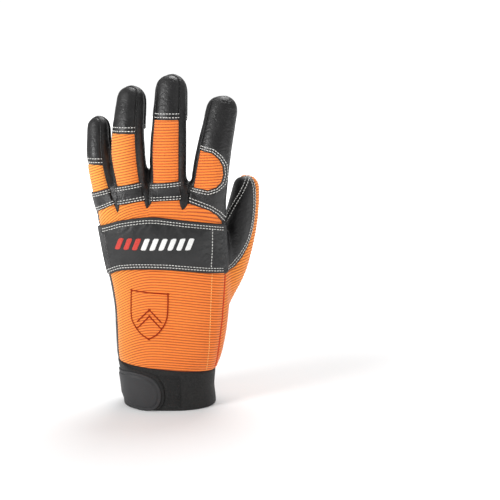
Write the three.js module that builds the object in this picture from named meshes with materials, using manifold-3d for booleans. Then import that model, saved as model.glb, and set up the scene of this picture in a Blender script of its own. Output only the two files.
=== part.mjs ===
// A left-hand work glove for chainsaw use, standing on its cuff with the fingers up.
// +Z runs from the wrist to the fingertips, the back of the hand faces -Y, and the thumb is at +X.
// The origin is the centre of the cuff's mouth, where the wrist goes in. Lengths are millimetres.
import * as THREE from "three";
import Module from "manifold-3d";

const wasm = await Module();
wasm.setup();

// Cuff and hook-and-loop closure
const cuffHeight = 32;
const cuffWidth = 75;
const cuffDepth = 51;
const cuffWall = 2.4;
const bandWidth = 30.5; // the closure band, along Z
const bandReach = 30.5; // from the little-finger side of the cuff to the band's round end
const bandThickness = 1.2;
const tabMargin = 3; // from the band's edge to the grip tab's
const tabThickness = 1.6;
const hookWidth = 16;
const hookThickness = 0.8;

// Hand, from the cuff to the roots of the fingers
const palmLength = 148;
const palmWidth = 100;
const palmDepth = 46;

// Fingers and thumb
const middleLength = 115; // from the root, inside the hand, to the fingertip
const fingerWidth = 27.6;
const thumbLength = 127;
const thumbWidth = 27;

// Material thicknesses, and the gap that sewn pieces keep to each other
const wall = 2;
const stripThickness = 1;
const patchThickness = 1.3;
const guardThickness = 2;
const seamGap = 0.3;

// Panels on the back of the hand and fingers
const guardWidth = 92;
const guardHeight = 43;
const stripHeight = 14;

const fingerSides = 12;
const handSides = 24;
const degree = Math.PI / 180;

// Sections of the cuff. height is a share of cuffHeight, little and thumb are the reach to each side
// as shares of cuffWidth.
const cuffSections = [
  { height: 0, little: 0.46, thumb: 0.485, depth: 1 },
  { height: 0.5, little: 0.485, thumb: 0.47, depth: 0.985 },
  { height: 1, little: 0.515, thumb: 0.487, depth: 0.97 },
];

// Sections of the hand. height is a share of palmLength above the cuff, little and thumb are the
// reach to each side as shares of palmWidth, back and front are shares of palmDepth.
const handSections = [
  { height: -0.01, little: 0.385, thumb: 0.36, back: 0.525, front: 0.52 },
  { height: 0.035, little: 0.396, thumb: 0.395, back: 0.54, front: 0.53 },
  { height: 0.1, little: 0.405, thumb: 0.432, back: 0.545, front: 0.535 },
  { height: 0.2, little: 0.411, thumb: 0.452, back: 0.535, front: 0.535 },
  { height: 0.33, little: 0.42, thumb: 0.472, back: 0.52, front: 0.53 },
  { height: 0.46, little: 0.45, thumb: 0.475, back: 0.505, front: 0.505 },
  { height: 0.58, little: 0.49, thumb: 0.468, back: 0.49, front: 0.47 },
  { height: 0.7, little: 0.512, thumb: 0.458, back: 0.465, front: 0.44 },
  { height: 0.8, little: 0.525, thumb: 0.455, back: 0.42, front: 0.39 },
  { height: 0.88, little: 0.515, thumb: 0.44, back: 0.335, front: 0.31 },
  { height: 0.935, little: 0.49, thumb: 0.36, back: 0.23, front: 0.23 },
  { height: 0.97, little: 0.44, thumb: 0.26, back: 0.1, front: 0.12 },
];
const handSquareness = 2.35;

// Fingers. root, bend and tip are points on the axis: x as a share of palmWidth, y of palmDepth, and
// z of palmLength above the cuff at the root, then of middleLength above the root.
// The widths are shares of fingerWidth, and roll turns the back of the finger towards the little finger.
// The seams between the back, the sides and the palm lie at angles round the axis, from the back's middle.
// cap is where the tip's leather starts, pad where the palm's does, both as shares of middleLength.
// strip is the height of the knuckle strip's upper edge at its two ends, as shares of palmLength.
const fingers = {
  pinky: {
    root: [-0.41, 0.02, 0.73], bend: [-0.528, 0.1, 0.41], tip: [-0.528, 0.34, 0.725],
    rootWidth: 0.8, midWidth: 0.7, tipWidth: 0.63, roll: -41,
    back: [-54, 54], thumbSide: [54, 125], cap: 0.426, pad: 0.45, strip: [0.907, 0.932],
  },
  ring: {
    root: [-0.235, -0.02, 0.73], bend: [-0.3, 0.03, 0.52], tip: [-0.28, 0.34, 0.925],
    rootWidth: 0.95, midWidth: 0.935, tipWidth: 0.8, roll: -30,
    back: [-50, 50], thumbSide: [50, 120], littleSide: [240, 310],
    cap: 0.626, pad: 0.635, strip: [0.943, 0.965],
  },
  middle: {
    root: [0.005, -0.04, 0.73], bend: [0.012, 0.01, 0.52], tip: [0.03, 0.32, 1],
    rootWidth: 1.0, midWidth: 0.98, tipWidth: 0.85, roll: -17,
    back: [-46, 46], thumbSide: [46, 112], littleSide: [242, 314],
    cap: 0.706, pad: 0.69, strip: [0.958, 0.971],
  },
  index: {
    root: [0.28, -0.02, 0.71], bend: [0.345, 0.02, 0.46], tip: [0.43, 0.32, 0.88],
    rootWidth: 1.08, midWidth: 0.94, tipWidth: 0.85, roll: -10,
    back: [-45, 110], littleSide: [245, 315],
  },
};
const seamStart = 0.07; // where the side panels begin, as a share of the finger's axis
const fingerDepthShare = 0.94;
const fingerSquareness = 2.3;

// The thumb. x is a share of palmWidth, y of palmDepth and z of thumbLength above the cuff; across and
// deep are shares of thumbWidth.
const thumbStations = [
  { at: [0.2, 0.16, 0.2], across: 1.3, deep: 1.2 },
  { at: [0.32, 0.26, 0.4], across: 1.32, deep: 1.14 },
  { at: [0.455, 0.34, 0.59], across: 1.28, deep: 1.08 },
  { at: [0.533, 0.4, 0.77], across: 1.13, deep: 0.98 },
  { at: [0.58, 0.46, 0.94], across: 0.94, deep: 0.87 },
  { at: [0.603, 0.5, 1.06], across: 0.76, deep: 0.76 },
];
const thumbRoll = 120; // turns the thumb's knit side away from the back of the hand
const thumbSquareness = 2.15;

// Distance from the centre to a rounded section's outline, in one direction.
function reachOf(angle, halfDepth, halfWidth, squareness) {
  const c = Math.abs(Math.cos(angle)) / halfDepth;
  const s = Math.abs(Math.sin(angle)) / halfWidth;
  return 1 / Math.pow(Math.pow(c, squareness) + Math.pow(s, squareness), 1 / squareness);
}

function solidOf(positions, triangles) {
  const build = (faces) =>
    new wasm.Manifold(
      new wasm.Mesh({
        numProp: 3,
        vertProperties: new Float32Array(positions),
        triVerts: new Uint32Array(faces),
      }),
    );
  const made = build(triangles);
  if (made.volume() > 0) return made;
  const turned = [];
  for (let i = 0; i < triangles.length; i += 3) turned.push(triangles[i + 1], triangles[i], triangles[i + 2]);
  return build(turned);
}

// A closed solid through rings of points, with a fan to the middle of each end ring.
function loft(rings) {
  const count = rings[0].length;
  const positions = rings.flat().flatMap((p) => [p.x, p.y, p.z]);
  const triangles = [];
  for (let r = 0; r + 1 < rings.length; r++) {
    for (let i = 0; i < count; i++) {
      const a = r * count + i;
      const b = r * count + ((i + 1) % count);
      triangles.push(a, b, b + count, a, b + count, a + count);
    }
  }
  const ends = [rings[0], rings[rings.length - 1]];
  ends.forEach((ring, end) => {
    const middle = ring.reduce((sum, p) => sum.add(p), new THREE.Vector3()).divideScalar(count);
    const centre = positions.length / 3;
    positions.push(middle.x, middle.y, middle.z);
    const first = end ? (rings.length - 1) * count : 0;
    for (let i = 0; i < count; i++) {
      const a = first + i;
      const b = first + ((i + 1) % count);
      if (end) triangles.push(a, b, centre);
      else triangles.push(b, a, centre);
    }
  });
  return solidOf(positions, triangles);
}

// A prism along Y over a front-view outline of [x, z] points.
function prism(outline, nearY, farY) {
  const shape = new THREE.Shape(outline.map(([x, z]) => new THREE.Vector2(x, z)));
  const geometry = new THREE.ExtrudeGeometry(shape, { depth: farY - nearY, bevelEnabled: false });
  geometry.rotateX(Math.PI / 2);
  geometry.translate(0, farY, 0);
  const raw = geometry.getAttribute("position");
  const known = new Map();
  const positions = [];
  const triangles = [];
  for (let i = 0; i < raw.count; i++) {
    const key = [raw.getX(i), raw.getY(i), raw.getZ(i)].map((v) => Math.round(v * 1e3)).join();
    if (!known.has(key)) {
      known.set(key, positions.length / 3);
      positions.push(raw.getX(i), raw.getY(i), raw.getZ(i));
    }
    triangles.push(known.get(key));
  }
  return solidOf(positions, triangles);
}

// Points along a smooth line through the given [x, z] points.
function smooth(points, count) {
  const curve = new THREE.SplineCurve(points.map(([x, z]) => new THREE.Vector2(x, z)));
  return curve.getPoints(count).map((p) => [p.x, p.y]);
}

// Moves a closed outline's edges outwards by a distance, or inwards if it is negative.
function widen(outline, distance) {
  const points = outline.map(([x, z]) => new THREE.Vector2(x, z));
  const turn = Math.sign(THREE.ShapeUtils.area(points));
  const count = points.length;
  const normalAfter = (i) => {
    const edge = points[(i + 1) % count].clone().sub(points[i % count]).normalize();
    return new THREE.Vector2(edge.y * turn, -edge.x * turn);
  };
  return points.map((p, i) => {
    const after = normalAfter(i);
    const bisector = normalAfter(i + count - 1).add(after).normalize();
    const stretch = distance / Math.max(bisector.dot(after), 0.4);
    return [p.x + bisector.x * stretch, p.y + bisector.y * stretch];
  });
}

function handRing(section, grow) {
  const z = cuffHeight + section.height * palmLength;
  const little = section.little * palmWidth + grow;
  const toThumb = section.thumb * palmWidth + grow;
  const centre = (toThumb - little) / 2;
  const halfWidth = (toThumb + little) / 2;
  const ring = [];
  for (let i = 0; i < handSides; i++) {
    const turn = (i / handSides) * 2 * Math.PI;
    const halfDepth = (Math.cos(turn) > 0 ? section.back : section.front) * palmDepth + grow;
    const angle = Math.atan2(halfWidth * Math.sin(turn), halfDepth * Math.cos(turn));
    const reach = reachOf(angle, halfDepth, halfWidth, handSquareness);
    ring.push(new THREE.Vector3(centre + reach * Math.sin(angle), -reach * Math.cos(angle), z));
  }
  return ring;
}

function handLoft(grow) {
  const last = handSections[handSections.length - 1];
  const top = { ...last, height: last.height + grow / palmLength };
  return loft([...handSections.slice(0, -1), top].map((section) => handRing(section, grow)));
}

// The cuff's form, grown or shrunk evenly and carried on past both its ends by overshoot
function cuffLoft(grow, overshoot) {
  const ringAt = ({ little, thumb, depth }, z) => {
    const toLittle = little * cuffWidth + grow;
    const toThumb = thumb * cuffWidth + grow;
    const halfDepth = (depth * cuffDepth) / 2 + grow;
    const centre = (toThumb - toLittle) / 2;
    const halfWidth = (toThumb + toLittle) / 2;
    return Array.from({ length: handSides }, (_, i) => {
      const turn = (i / handSides) * 2 * Math.PI;
      const angle = Math.atan2(halfWidth * Math.sin(turn), halfDepth * Math.cos(turn));
      const reach = reachOf(angle, halfDepth, halfWidth, handSquareness);
      return new THREE.Vector3(centre + reach * Math.sin(angle), -reach * Math.cos(angle), z);
    });
  };
  const rings = cuffSections.map((section) => ringAt(section, section.height * cuffHeight));
  if (overshoot > 0) {
    rings.unshift(ringAt(cuffSections[0], -overshoot));
    rings.push(ringAt(cuffSections[cuffSections.length - 1], cuffHeight + overshoot));
  }
  return loft(rings);
}

// Where a finger's or the thumb's axis is and how its section lies, at a share of its length.
function digitFrame(digit, share) {
  const centre = digit.axis.getPoint(share);
  const along = digit.axis.getTangent(share);
  const facing = new THREE.Vector3(Math.sin(digit.roll * degree), -Math.cos(digit.roll * degree), 0);
  const side = along.clone().cross(facing).normalize();
  const back = side.clone().cross(along).normalize();
  const width = digit.width(share);
  return { centre, along, side, back, halfWidth: width.across / 2, halfDepth: width.deep / 2 };
}

function digitPoint(frame, angle, halfDepth, halfWidth, squareness, forward) {
  const reach = reachOf(angle, halfDepth, halfWidth, squareness);
  return frame.centre
    .clone()
    .addScaledVector(frame.back, reach * Math.cos(angle))
    .addScaledVector(frame.side, reach * Math.sin(angle))
    .addScaledVector(frame.along, forward);
}

const shaftShares = [0, 0.2, 0.4, 0.6, 0.8, 1];
const tipTurns = [30, 56, 78];

function digitLoft(digit, grow) {
  const ringAt = (frame, swell, forward) => {
    const ring = [];
    for (let i = 0; i < fingerSides; i++) {
      const angle = (i / fingerSides) * 2 * Math.PI;
      const halfDepth = (frame.halfDepth + grow) * swell;
      const halfWidth = (frame.halfWidth + grow) * swell;
      ring.push(digitPoint(frame, angle, halfDepth, halfWidth, digit.squareness, forward));
    }
    return ring;
  };
  const rings = shaftShares.map((share) => ringAt(digitFrame(digit, share), 1, 0));
  const end = digitFrame(digit, 1);
  for (const turn of tipTurns) {
    const swell = Math.pow(Math.cos(turn * degree), 0.9);
    rings.push(ringAt(end, swell, (digit.tipReach + grow) * Math.sin(turn * degree)));
  }
  return loft(rings);
}

// A wedge of space round a digit's axis between two angles in degrees, widened by spread.
function sector(digit, [from, to], spread) {
  const shares = [seamStart, ...shaftShares.filter((share) => share > seamStart)];
  const low = from * degree;
  const high = to * degree;
  const steps = 4;
  const ringAt = (share, forward) => {
    const frame = digitFrame(digit, share);
    const direction = (a) =>
      frame.back.clone().multiplyScalar(Math.cos(a)).addScaledVector(frame.side, Math.sin(a));
    const inset = spread / Math.sin((high - low) / 2);
    const apex = frame.centre
      .clone()
      .addScaledVector(direction((low + high) / 2), -inset)
      .addScaledVector(frame.along, forward);
    const reach = 1.5 * Math.max(frame.halfWidth, frame.halfDepth);
    const ring = [apex];
    for (let i = 0; i <= steps; i++) {
      ring.push(apex.clone().addScaledVector(direction(low + ((high - low) * i) / steps), reach));
    }
    return ring;
  };
  const rings = shares.map((share) => ringAt(share, 0));
  rings.push(ringAt(1, digit.tipReach * 1.6));
  return loft(rings);
}

function makeFinger(row) {
  const rootZ = cuffHeight + row.root[2] * palmLength;
  const tipReach = (row.tipWidth * fingerWidth) / 2;
  const onAxis = ([x, y, z], back) =>
    new THREE.Vector3(x * palmWidth, y * palmDepth, rootZ + z * middleLength - back);
  const root = new THREE.Vector3(row.root[0] * palmWidth, row.root[1] * palmDepth, rootZ);
  const axis = new THREE.CatmullRomCurve3([root, onAxis(row.bend, 0), onAxis(row.tip, tipReach)]);
  const width = (share) => {
    const across =
      share < 0.5
        ? THREE.MathUtils.lerp(row.rootWidth, row.midWidth, share * 2)
        : THREE.MathUtils.lerp(row.midWidth, row.tipWidth, (share - 0.5) * 2);
    return { across: across * fingerWidth, deep: across * fingerWidth * fingerDepthShare };
  };
  return { ...row, rootZ, axis, width, tipReach, squareness: fingerSquareness };
}

function makeThumb() {
  const tipReach = (thumbStations[thumbStations.length - 1].across * thumbWidth) / 2;
  const points = thumbStations.map(
    ({ at: [x, y, z] }) => new THREE.Vector3(x * palmWidth, y * palmDepth, cuffHeight + z * thumbLength),
  );
  const axis = new THREE.CatmullRomCurve3(points);
  const width = (share) => {
    const place = share * (thumbStations.length - 1);
    const i = Math.min(Math.floor(place), thumbStations.length - 2);
    const between = (key) =>
      THREE.MathUtils.lerp(thumbStations[i][key], thumbStations[i + 1][key], place - i) * thumbWidth;
    return { across: between("across"), deep: between("deep") };
  };
  return { roll: thumbRoll, axis, width, tipReach, squareness: thumbSquareness };
}

const digits = Object.fromEntries(Object.entries(fingers).map(([name, row]) => [name, makeFinger(row)]));
digits.thumb = makeThumb();

// The glove's whole outer form above the wrist, grown or shrunk evenly.
function skin(grow) {
  return Object.values(digits).reduce((whole, digit) => whole.add(digitLoft(digit, grow)), handLoft(grow));
}

// A layer of a given thickness that lies on the outside of the hand.
function layer(thickness) {
  return skin(seamGap + thickness).subtract(skin(seamGap));
}

const far = 2 * palmWidth;
const topmost = cuffHeight + palmLength + middleLength;
const aboveCuff = cuffHeight + seamGap;
const skinSlack = seamGap / 3; // keeps a zone's faces off the skin's own
const overlayReach = 2 * guardThickness;

function slab(low, high, nearY = -far, farY = far) {
  return prism([[-far, low], [far, low], [far, high], [-far, high]], nearY, farY);
}

const shell = skin(0).subtract(skin(-wall)).intersect(slab(aboveCuff, topmost));

const group = new THREE.Group();

function material(color, roughness) {
  return new THREE.MeshStandardMaterial({ color, roughness, metalness: 0 });
}
const knit = material(0xff6a1a, 0.85);
const leather = material(0x1c1c1d, 0.5);
const patchLeather = material(0x232324, 0.55);
const stretchBlack = material(0x181717, 0.9);
const tabRubber = material(0x303032, 0.6);

// Adds the largest body of a solid as a named mesh; offcuts of the panel are swept away.
function addNode(name, solid, finish) {
  const bodies = solid.decompose();
  const body = bodies.reduce((best, b) => (b.volume() > best.volume() ? b : best));
  const mesh = body.getMesh();
  const geometry = new THREE.BufferGeometry();
  geometry.setAttribute("position", new THREE.BufferAttribute(new Float32Array(mesh.vertProperties), 3));
  geometry.setIndex(new THREE.BufferAttribute(new Uint32Array(mesh.triVerts), 1));
  geometry.computeVertexNormals();
  const node = new THREE.Mesh(geometry, finish);
  node.name = name;
  group.add(node);
}

// Outlines are in front view. x is a share of palmWidth, and z a share of palmLength or of
// thumbLength above the cuff.
const onHand = (points) => points.map(([x, z]) => [x * palmWidth, cuffHeight + z * palmLength]);
const onThumb = (points) => points.map(([x, z]) => [x * palmWidth, cuffHeight + z * thumbLength]);

// Where outlines on the back hand over to those on the palm side
const handSplit = 0.09 * palmDepth;
const thumbSplit = 0.43 * palmDepth;
const thumbRoot = cuffHeight + 0.575 * thumbLength;

// Seams of the orange side panel: on the back from the cuff to the thumb, up along the thumb, and on
// the palm side from the cuff to the thumb's tip
const backSeam = onHand([[0.36, -0.02], [0.394, 0.113], [0.418, 0.247], [0.431, 0.354], [0.443, 0.486]]);
const thumbSeam = onThumb([
  [0.512, 0.594], [0.576, 0.651], [0.623, 0.717], [0.66, 0.791], [0.684, 0.85], [0.7, 0.945],
  [0.702, 1.04], [0.69, 1.142], [0.66, 1.3],
]);
const palmSeam = onThumb([
  [0.212, -0.03], [0.217, 0.144], [0.265, 0.233], [0.33, 0.321], [0.378, 0.403], [0.392, 0.47],
  [0.397, 0.571], [0.4, 0.669], [0.45, 0.811], [0.515, 0.969], [0.548, 1.071], [0.58, 1.3],
]);
const middleSeam = onThumb([
  [0.434, 0.848], [0.473, 0.909], [0.519, 0.976], [0.572, 1.048], [0.618, 1.139], [0.63, 1.3],
]);

// Closes a seam line into an outline that holds everything on its thumb side.
function thumbSideOf(line) {
  return [...line, [far, line[line.length - 1][1]], [far, line[0][1]]];
}

function gussetZone(spread) {
  const back = widen(thumbSideOf([...backSeam, ...thumbSeam]), spread);
  const front = widen(thumbSideOf(palmSeam), spread);
  const low = slab(0, thumbRoot);
  const high = slab(thumbRoot, topmost);
  return prism(back, -far, handSplit)
    .intersect(low)
    .add(prism(front, handSplit, far).intersect(low))
    .add(prism(back, -far, thumbSplit).intersect(high))
    .add(prism(front, thumbSplit, far).intersect(high));
}

// The leather face of the thumb, between its middle seam and the orange side
function thumbFrontZone(spread) {
  const low = backSeam[backSeam.length - 1];
  const outline = [low, ...thumbSeam, ...middleSeam.slice().reverse()];
  return prism(widen(outline, spread), -far, thumbSplit);
}

function thumbInnerZone(spread) {
  const above = middleSeam[0][1] - spread;
  return digitLoft(digits.thumb, 1 + spread).intersect(slab(above, topmost));
}

// One seam-to-seam part of a finger, and of the space round it as far as reach
function fingerZone(name, seams, spread, reach = skinSlack) {
  return sector(digits[name], seams, spread).intersect(digitLoft(digits[name], reach + spread));
}

function heightOn(name, share) {
  return digits[name].rootZ + share * middleLength;
}

const unite = (solids) => solids.reduce((whole, solid) => whole.add(solid));

// The orange knit back, from the cuff up to the fingertip caps
const backOutline = onHand([
  [-0.385, -0.05], [-0.385, 0.36], [-0.395, 0.49], [-0.43, 0.595], [-0.48, 0.72], [-0.54, 0.8],
  [-0.54, 0.9], [0.17, 0.9], [0.177, 0.861], [0.259, 0.84], [0.333, 0.82], [0.386, 0.795],
  [0.423, 0.76], [0.432, 0.6], [0.443, 0.486], [0.431, 0.354], [0.418, 0.247], [0.394, 0.113],
  [0.36, -0.05],
]);
const cappedFingers = ["pinky", "ring", "middle"];

function backZone(spread) {
  const onFingers = cappedFingers.map((name) =>
    fingerZone(name, digits[name].back, spread).intersect(slab(0, heightOn(name, digits[name].cap) + spread)),
  );
  return unite([prism(widen(backOutline, spread), -far, 0), ...onFingers]);
}

function capZone(name, spread) {
  const above = heightOn(name, digits[name].cap) + seamGap - spread;
  return fingerZone(name, digits[name].back, spread).intersect(slab(above, topmost));
}

// Each side panel gives way to the finger named last, which stands nearer the middle of the hand.
const sidePanels = [
  ["pinky", "thumbSide", "ring"],
  ["ring", "littleSide", "middle"],
  ["ring", "thumbSide", "middle"],
  ["middle", "littleSide"],
  ["middle", "thumbSide"],
  ["index", "littleSide", "middle"],
];

// The leather back of the index finger has a window over the knit.
const windowOutline = onHand([
  [0.284, 1.118], [0.351, 1.108], [0.4, 1.08], [0.43, 1.045], [0.436, 1.0], [0.42, 0.962],
  [0.38, 0.938], [0.319, 0.925], [0.2, 0.94], [0.2, 1.135],
]);
const indexSplit = 0.1 * palmDepth;
const indexCoverFoot = cuffHeight + 0.74 * palmLength;

function windowZone(spread) {
  const front = prism(widen(windowOutline, spread), -far, indexSplit);
  return front.intersect(fingerZone("index", digits.index.back, 0));
}

function indexCoverZone(spread) {
  return fingerZone("index", digits.index.back, spread).intersect(slab(indexCoverFoot, topmost));
}

const sides = unite(sidePanels.map(([name, seams]) => fingerZone(name, digits[name][seams], seamGap)));
const sidesAndBacks = sides.add(backZone(seamGap));
const caps = unite(cappedFingers.map((name) => capZone(name, seamGap)));
const thumbShell = shell.subtract(gussetZone(seamGap));

addNode("knit_back", shell.intersect(backZone(0)).subtract(sides), knit);
addNode("side_gusset", shell.intersect(gussetZone(0)).subtract(backZone(seamGap)), knit);

for (const [name, seams, nearer] of sidePanels) {
  const panel = shell.intersect(fingerZone(name, digits[name][seams], 0));
  const clear = nearer ? panel.subtract(digitLoft(digits[nearer], seamGap + skinSlack)) : panel;
  addNode(`${name}_${seams === "thumbSide" ? "thumb_side" : "little_side"}`, clear, leather);
}
for (const name of cappedFingers) {
  addNode(`${name}_cap`, shell.intersect(capZone(name, 0)).subtract(sides), leather);
}

const indexBack = thumbShell.intersect(indexCoverZone(0)).subtract(sidesAndBacks);
addNode("index_window", indexBack.intersect(windowZone(0)), knit);
addNode("index_cover", indexBack.subtract(windowZone(seamGap)), leather);

addNode("thumb_front", thumbShell.intersect(thumbFrontZone(0)).subtract(backZone(seamGap)), leather);
addNode("thumb_inner", thumbShell.intersect(thumbInnerZone(0)).subtract(thumbFrontZone(seamGap)), leather);

const palm = thumbShell
  .subtract(sidesAndBacks)
  .subtract(caps)
  .subtract(indexCoverZone(seamGap))
  .subtract(thumbFrontZone(seamGap))
  .subtract(thumbInnerZone(seamGap));
addNode("palm", palm, leather);

// Cuff, with the band that closes it and the grip tab on the band's end
addNode("cuff", cuffLoft(0, 0).subtract(cuffLoft(-cuffWall, cuffWall)), stretchBlack);

const bandEnd = bandReach - cuffSections[1].little * cuffWidth;
const bandMiddle = cuffHeight / 2;
const strapSteps = 8;

// A strap's front-view outline: straight from the little-finger side, with a round end.
function strapOutline(width, end) {
  const radius = width / 2;
  const outline = [[-far, bandMiddle - radius]];
  for (let i = 0; i <= strapSteps; i++) {
    const angle = (i / strapSteps - 0.5) * Math.PI;
    const x = end - radius + radius * Math.cos(angle);
    outline.push([x, bandMiddle + radius * Math.sin(angle)]);
  }
  outline.push([-far, bandMiddle + radius]);
  return outline;
}

function cuffLayer(low, high) {
  return cuffLoft(high, cuffWall).subtract(cuffLoft(low, 2 * cuffWall));
}
const overBand = 2 * seamGap + bandThickness;
const bandFar = 0.3 * cuffDepth; // how far the band and the tab go round the little-finger side
const tabFar = -0.1 * cuffDepth;
const tabEnd = bandEnd - tabMargin;
const tabWidth = bandWidth - 2 * tabMargin;
const bandSpace = prism(strapOutline(bandWidth, bandEnd), -far, bandFar);
const tabSpace = prism(strapOutline(tabWidth, tabEnd), -far, tabFar);
addNode("closure_band", cuffLayer(seamGap, seamGap + bandThickness).intersect(bandSpace), stretchBlack);
addNode("closure_tab", cuffLayer(overBand, overBand + tabThickness).intersect(tabSpace), tabRubber);

const hookSpace = prism(
  [
    [bandEnd + seamGap, tabMargin], [bandEnd + hookWidth, tabMargin],
    [bandEnd + hookWidth, cuffHeight - tabMargin], [bandEnd + seamGap, cuffHeight - tabMargin],
  ],
  -far,
  0,
).subtract(prism(widen(strapOutline(bandWidth, bandEnd), seamGap), -far, far));
addNode("hook_patch", cuffLayer(seamGap, seamGap + hookThickness).intersect(hookSpace), stretchBlack);

const outlineSteps = 24;

// Knuckle guard over the back of the hand. x is a share of guardWidth from the hand's middle, z of
// guardHeight above the guard's foot.
const guardFoot = cuffHeight + 0.5 * palmLength;
const guardOutline = [
  [0.465, 0], [0.36, 0.035], [0.2, 0.07], [0.03, 0.1], [-0.13, 0.107], [-0.25, 0.1], [-0.37, 0.07],
  [-0.435, 0], [-0.47, 0.28], [-0.505, 0.58], [-0.53, 0.8], [-0.45, 0.886], [-0.37, 0.94], [-0.2, 1],
  [-0.08, 1.01], [0.04, 0.984], [0.2, 0.94], [0.36, 0.895], [0.46, 0.85], [0.478, 0.5],
].map(([x, z]) => [x * guardWidth, guardFoot + z * guardHeight]);
const guardEdge = smooth([...guardOutline, guardOutline[0]], outlineSteps).slice(0, -1);
const guardSpace = prism(guardEdge, -far, 0);
addNode("knuckle_guard", layer(guardThickness).intersect(guardSpace), patchLeather);

// Knuckle strips across three fingers
const stripPlace = 0.25; // where along the finger's axis its strip is centred
const overStrip = layer(stripThickness);
const guardRim = prism(widen(guardOutline, seamGap), -far, 0);
for (const name of cappedFingers) {
  const middle = digits[name].axis.getPoint(stripPlace);
  const [left, right] = [middle.x - fingerWidth / 2, middle.x + fingerWidth / 2];
  const [little, thumb] = digits[name].strip.map((share) => cuffHeight + share * palmLength);
  const edges = [[left, little], [right, thumb], [right, thumb - stripHeight], [left, little - stripHeight]];
  const backSpace = fingerZone(name, digits[name].back, -seamGap, overlayReach);
  const space = prism(edges, -far, middle.y).intersect(backSpace);
  addNode(`${name}_strip`, overStrip.intersect(space).subtract(guardRim), leather);
}

// Palm patches. Each seam line runs from the little-finger edge to the thumb edge.
const patchTop = onHand([
  [-0.54, 0.83], [-0.545, 0.92], [-0.535, 0.98], [-0.5, 0.995], [-0.465, 0.97], [-0.43, 0.87],
  [-0.385, 0.825], [-0.335, 0.87], [-0.315, 0.98], [-0.27, 1.034], [-0.225, 0.985], [-0.16, 0.9],
  [-0.115, 0.877], [-0.06, 0.915], [-0.035, 1.01], [0.02, 1.04], [0.065, 0.985], [0.1, 0.885],
  [0.16, 0.836], [0.22, 0.87], [0.25, 0.96], [0.305, 1.01], [0.345, 0.97], [0.36, 0.9],
]);
const patchThumbEdge = onHand([[0.24, 0.77], [0.24, 0.68], [0.27, 0.57], [0.29, 0.456], [0.305, 0.405]]);
const upperQuilt = onHand([
  [-0.7, 0.728], [-0.325, 0.746], [-0.055, 0.78], [0.117, 0.8], [0.225, 0.774], [0.4, 0.72],
]);
const lowerQuilt = onHand([
  [-0.7, 0.41], [-0.5, 0.436], [-0.25, 0.486], [0.074, 0.584], [0.23, 0.638], [0.5, 0.72],
]);
const patchFoot = onHand([
  [0.315, 0.358], [0.25, 0.3], [0.168, 0.257], [0.043, 0.216], [-0.08, 0.2], [-0.2, 0.2],
  [-0.315, 0.213], [-0.37, 0.24], [-0.395, 0.28], [-0.395, 0.34], [-0.42, 0.432],
]);
const littleEdge = onHand([[-0.47, 0.57], [-0.505, 0.7]]);
const topEdge = smooth(patchTop, 1.5 * outlineSteps);
const footEdge = smooth(patchFoot, outlineSteps / 2);
const patchOutline = [...topEdge, ...patchThumbEdge, ...footEdge, ...littleEdge];

// The space on one side of a quilt line, as far as a height and half a seam's gap off the line
function quiltSide(line, height) {
  const rise = (Math.sign(height - line[0][1]) * seamGap) / 2;
  const edge = line.map(([x, z]) => [x, z + rise]);
  const [first, last] = [edge[0][1], edge[edge.length - 1][1]];
  return prism([...edge, [far, last], [far, height], [-far, height], [-far, first]], handSplit, far);
}

const patchSpace = prism(patchOutline, handSplit, far).subtract(gussetZone(seamGap));
const palmPatch = layer(patchThickness).intersect(patchSpace);
const underUpper = palmPatch.intersect(quiltSide(upperQuilt, 0));
addNode("upper_palm_patch", palmPatch.intersect(quiltSide(upperQuilt, topmost)), patchLeather);
addNode("middle_palm_patch", underUpper.intersect(quiltSide(lowerQuilt, topmost)), patchLeather);
addNode("lower_palm_patch", underUpper.intersect(quiltSide(lowerQuilt, 0)), patchLeather);

// Tip pads on the palm side of three fingers, a few degrees inside the seams there
const padMargin = 6;
for (const name of cappedFingers) {
  const { thumbSide, littleSide, back } = digits[name];
  const palmSide = [thumbSide[1] + padMargin, (littleSide ? littleSide[0] : 360 + back[0]) - padMargin];
  const high = slab(heightOn(name, digits[name].pad), topmost);
  const space = fingerZone(name, palmSide, -seamGap, overlayReach).intersect(high);
  addNode(`${name}_tip_pad`, overStrip.intersect(space), patchLeather);
}

export default group;
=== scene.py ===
import math

import bpy
import numpy as np
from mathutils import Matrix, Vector
from mathutils.bvhtree import BVHTree
from mathutils.kdtree import KDTree


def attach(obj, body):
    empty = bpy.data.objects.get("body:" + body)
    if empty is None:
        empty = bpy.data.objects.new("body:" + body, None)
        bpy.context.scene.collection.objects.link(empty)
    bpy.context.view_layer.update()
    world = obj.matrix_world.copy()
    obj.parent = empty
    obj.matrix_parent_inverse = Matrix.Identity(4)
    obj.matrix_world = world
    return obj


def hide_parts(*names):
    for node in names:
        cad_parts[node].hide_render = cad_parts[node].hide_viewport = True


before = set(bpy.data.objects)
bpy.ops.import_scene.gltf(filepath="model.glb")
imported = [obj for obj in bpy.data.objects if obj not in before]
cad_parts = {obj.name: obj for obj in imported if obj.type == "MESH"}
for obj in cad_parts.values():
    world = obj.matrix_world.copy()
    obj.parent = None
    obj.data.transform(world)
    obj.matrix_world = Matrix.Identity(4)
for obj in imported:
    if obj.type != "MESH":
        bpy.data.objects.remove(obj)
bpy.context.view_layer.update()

scene = bpy.context.scene
mm = 0.001
print("frame loaded:", len(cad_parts), "nodes")


# ---- node trees ----

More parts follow.
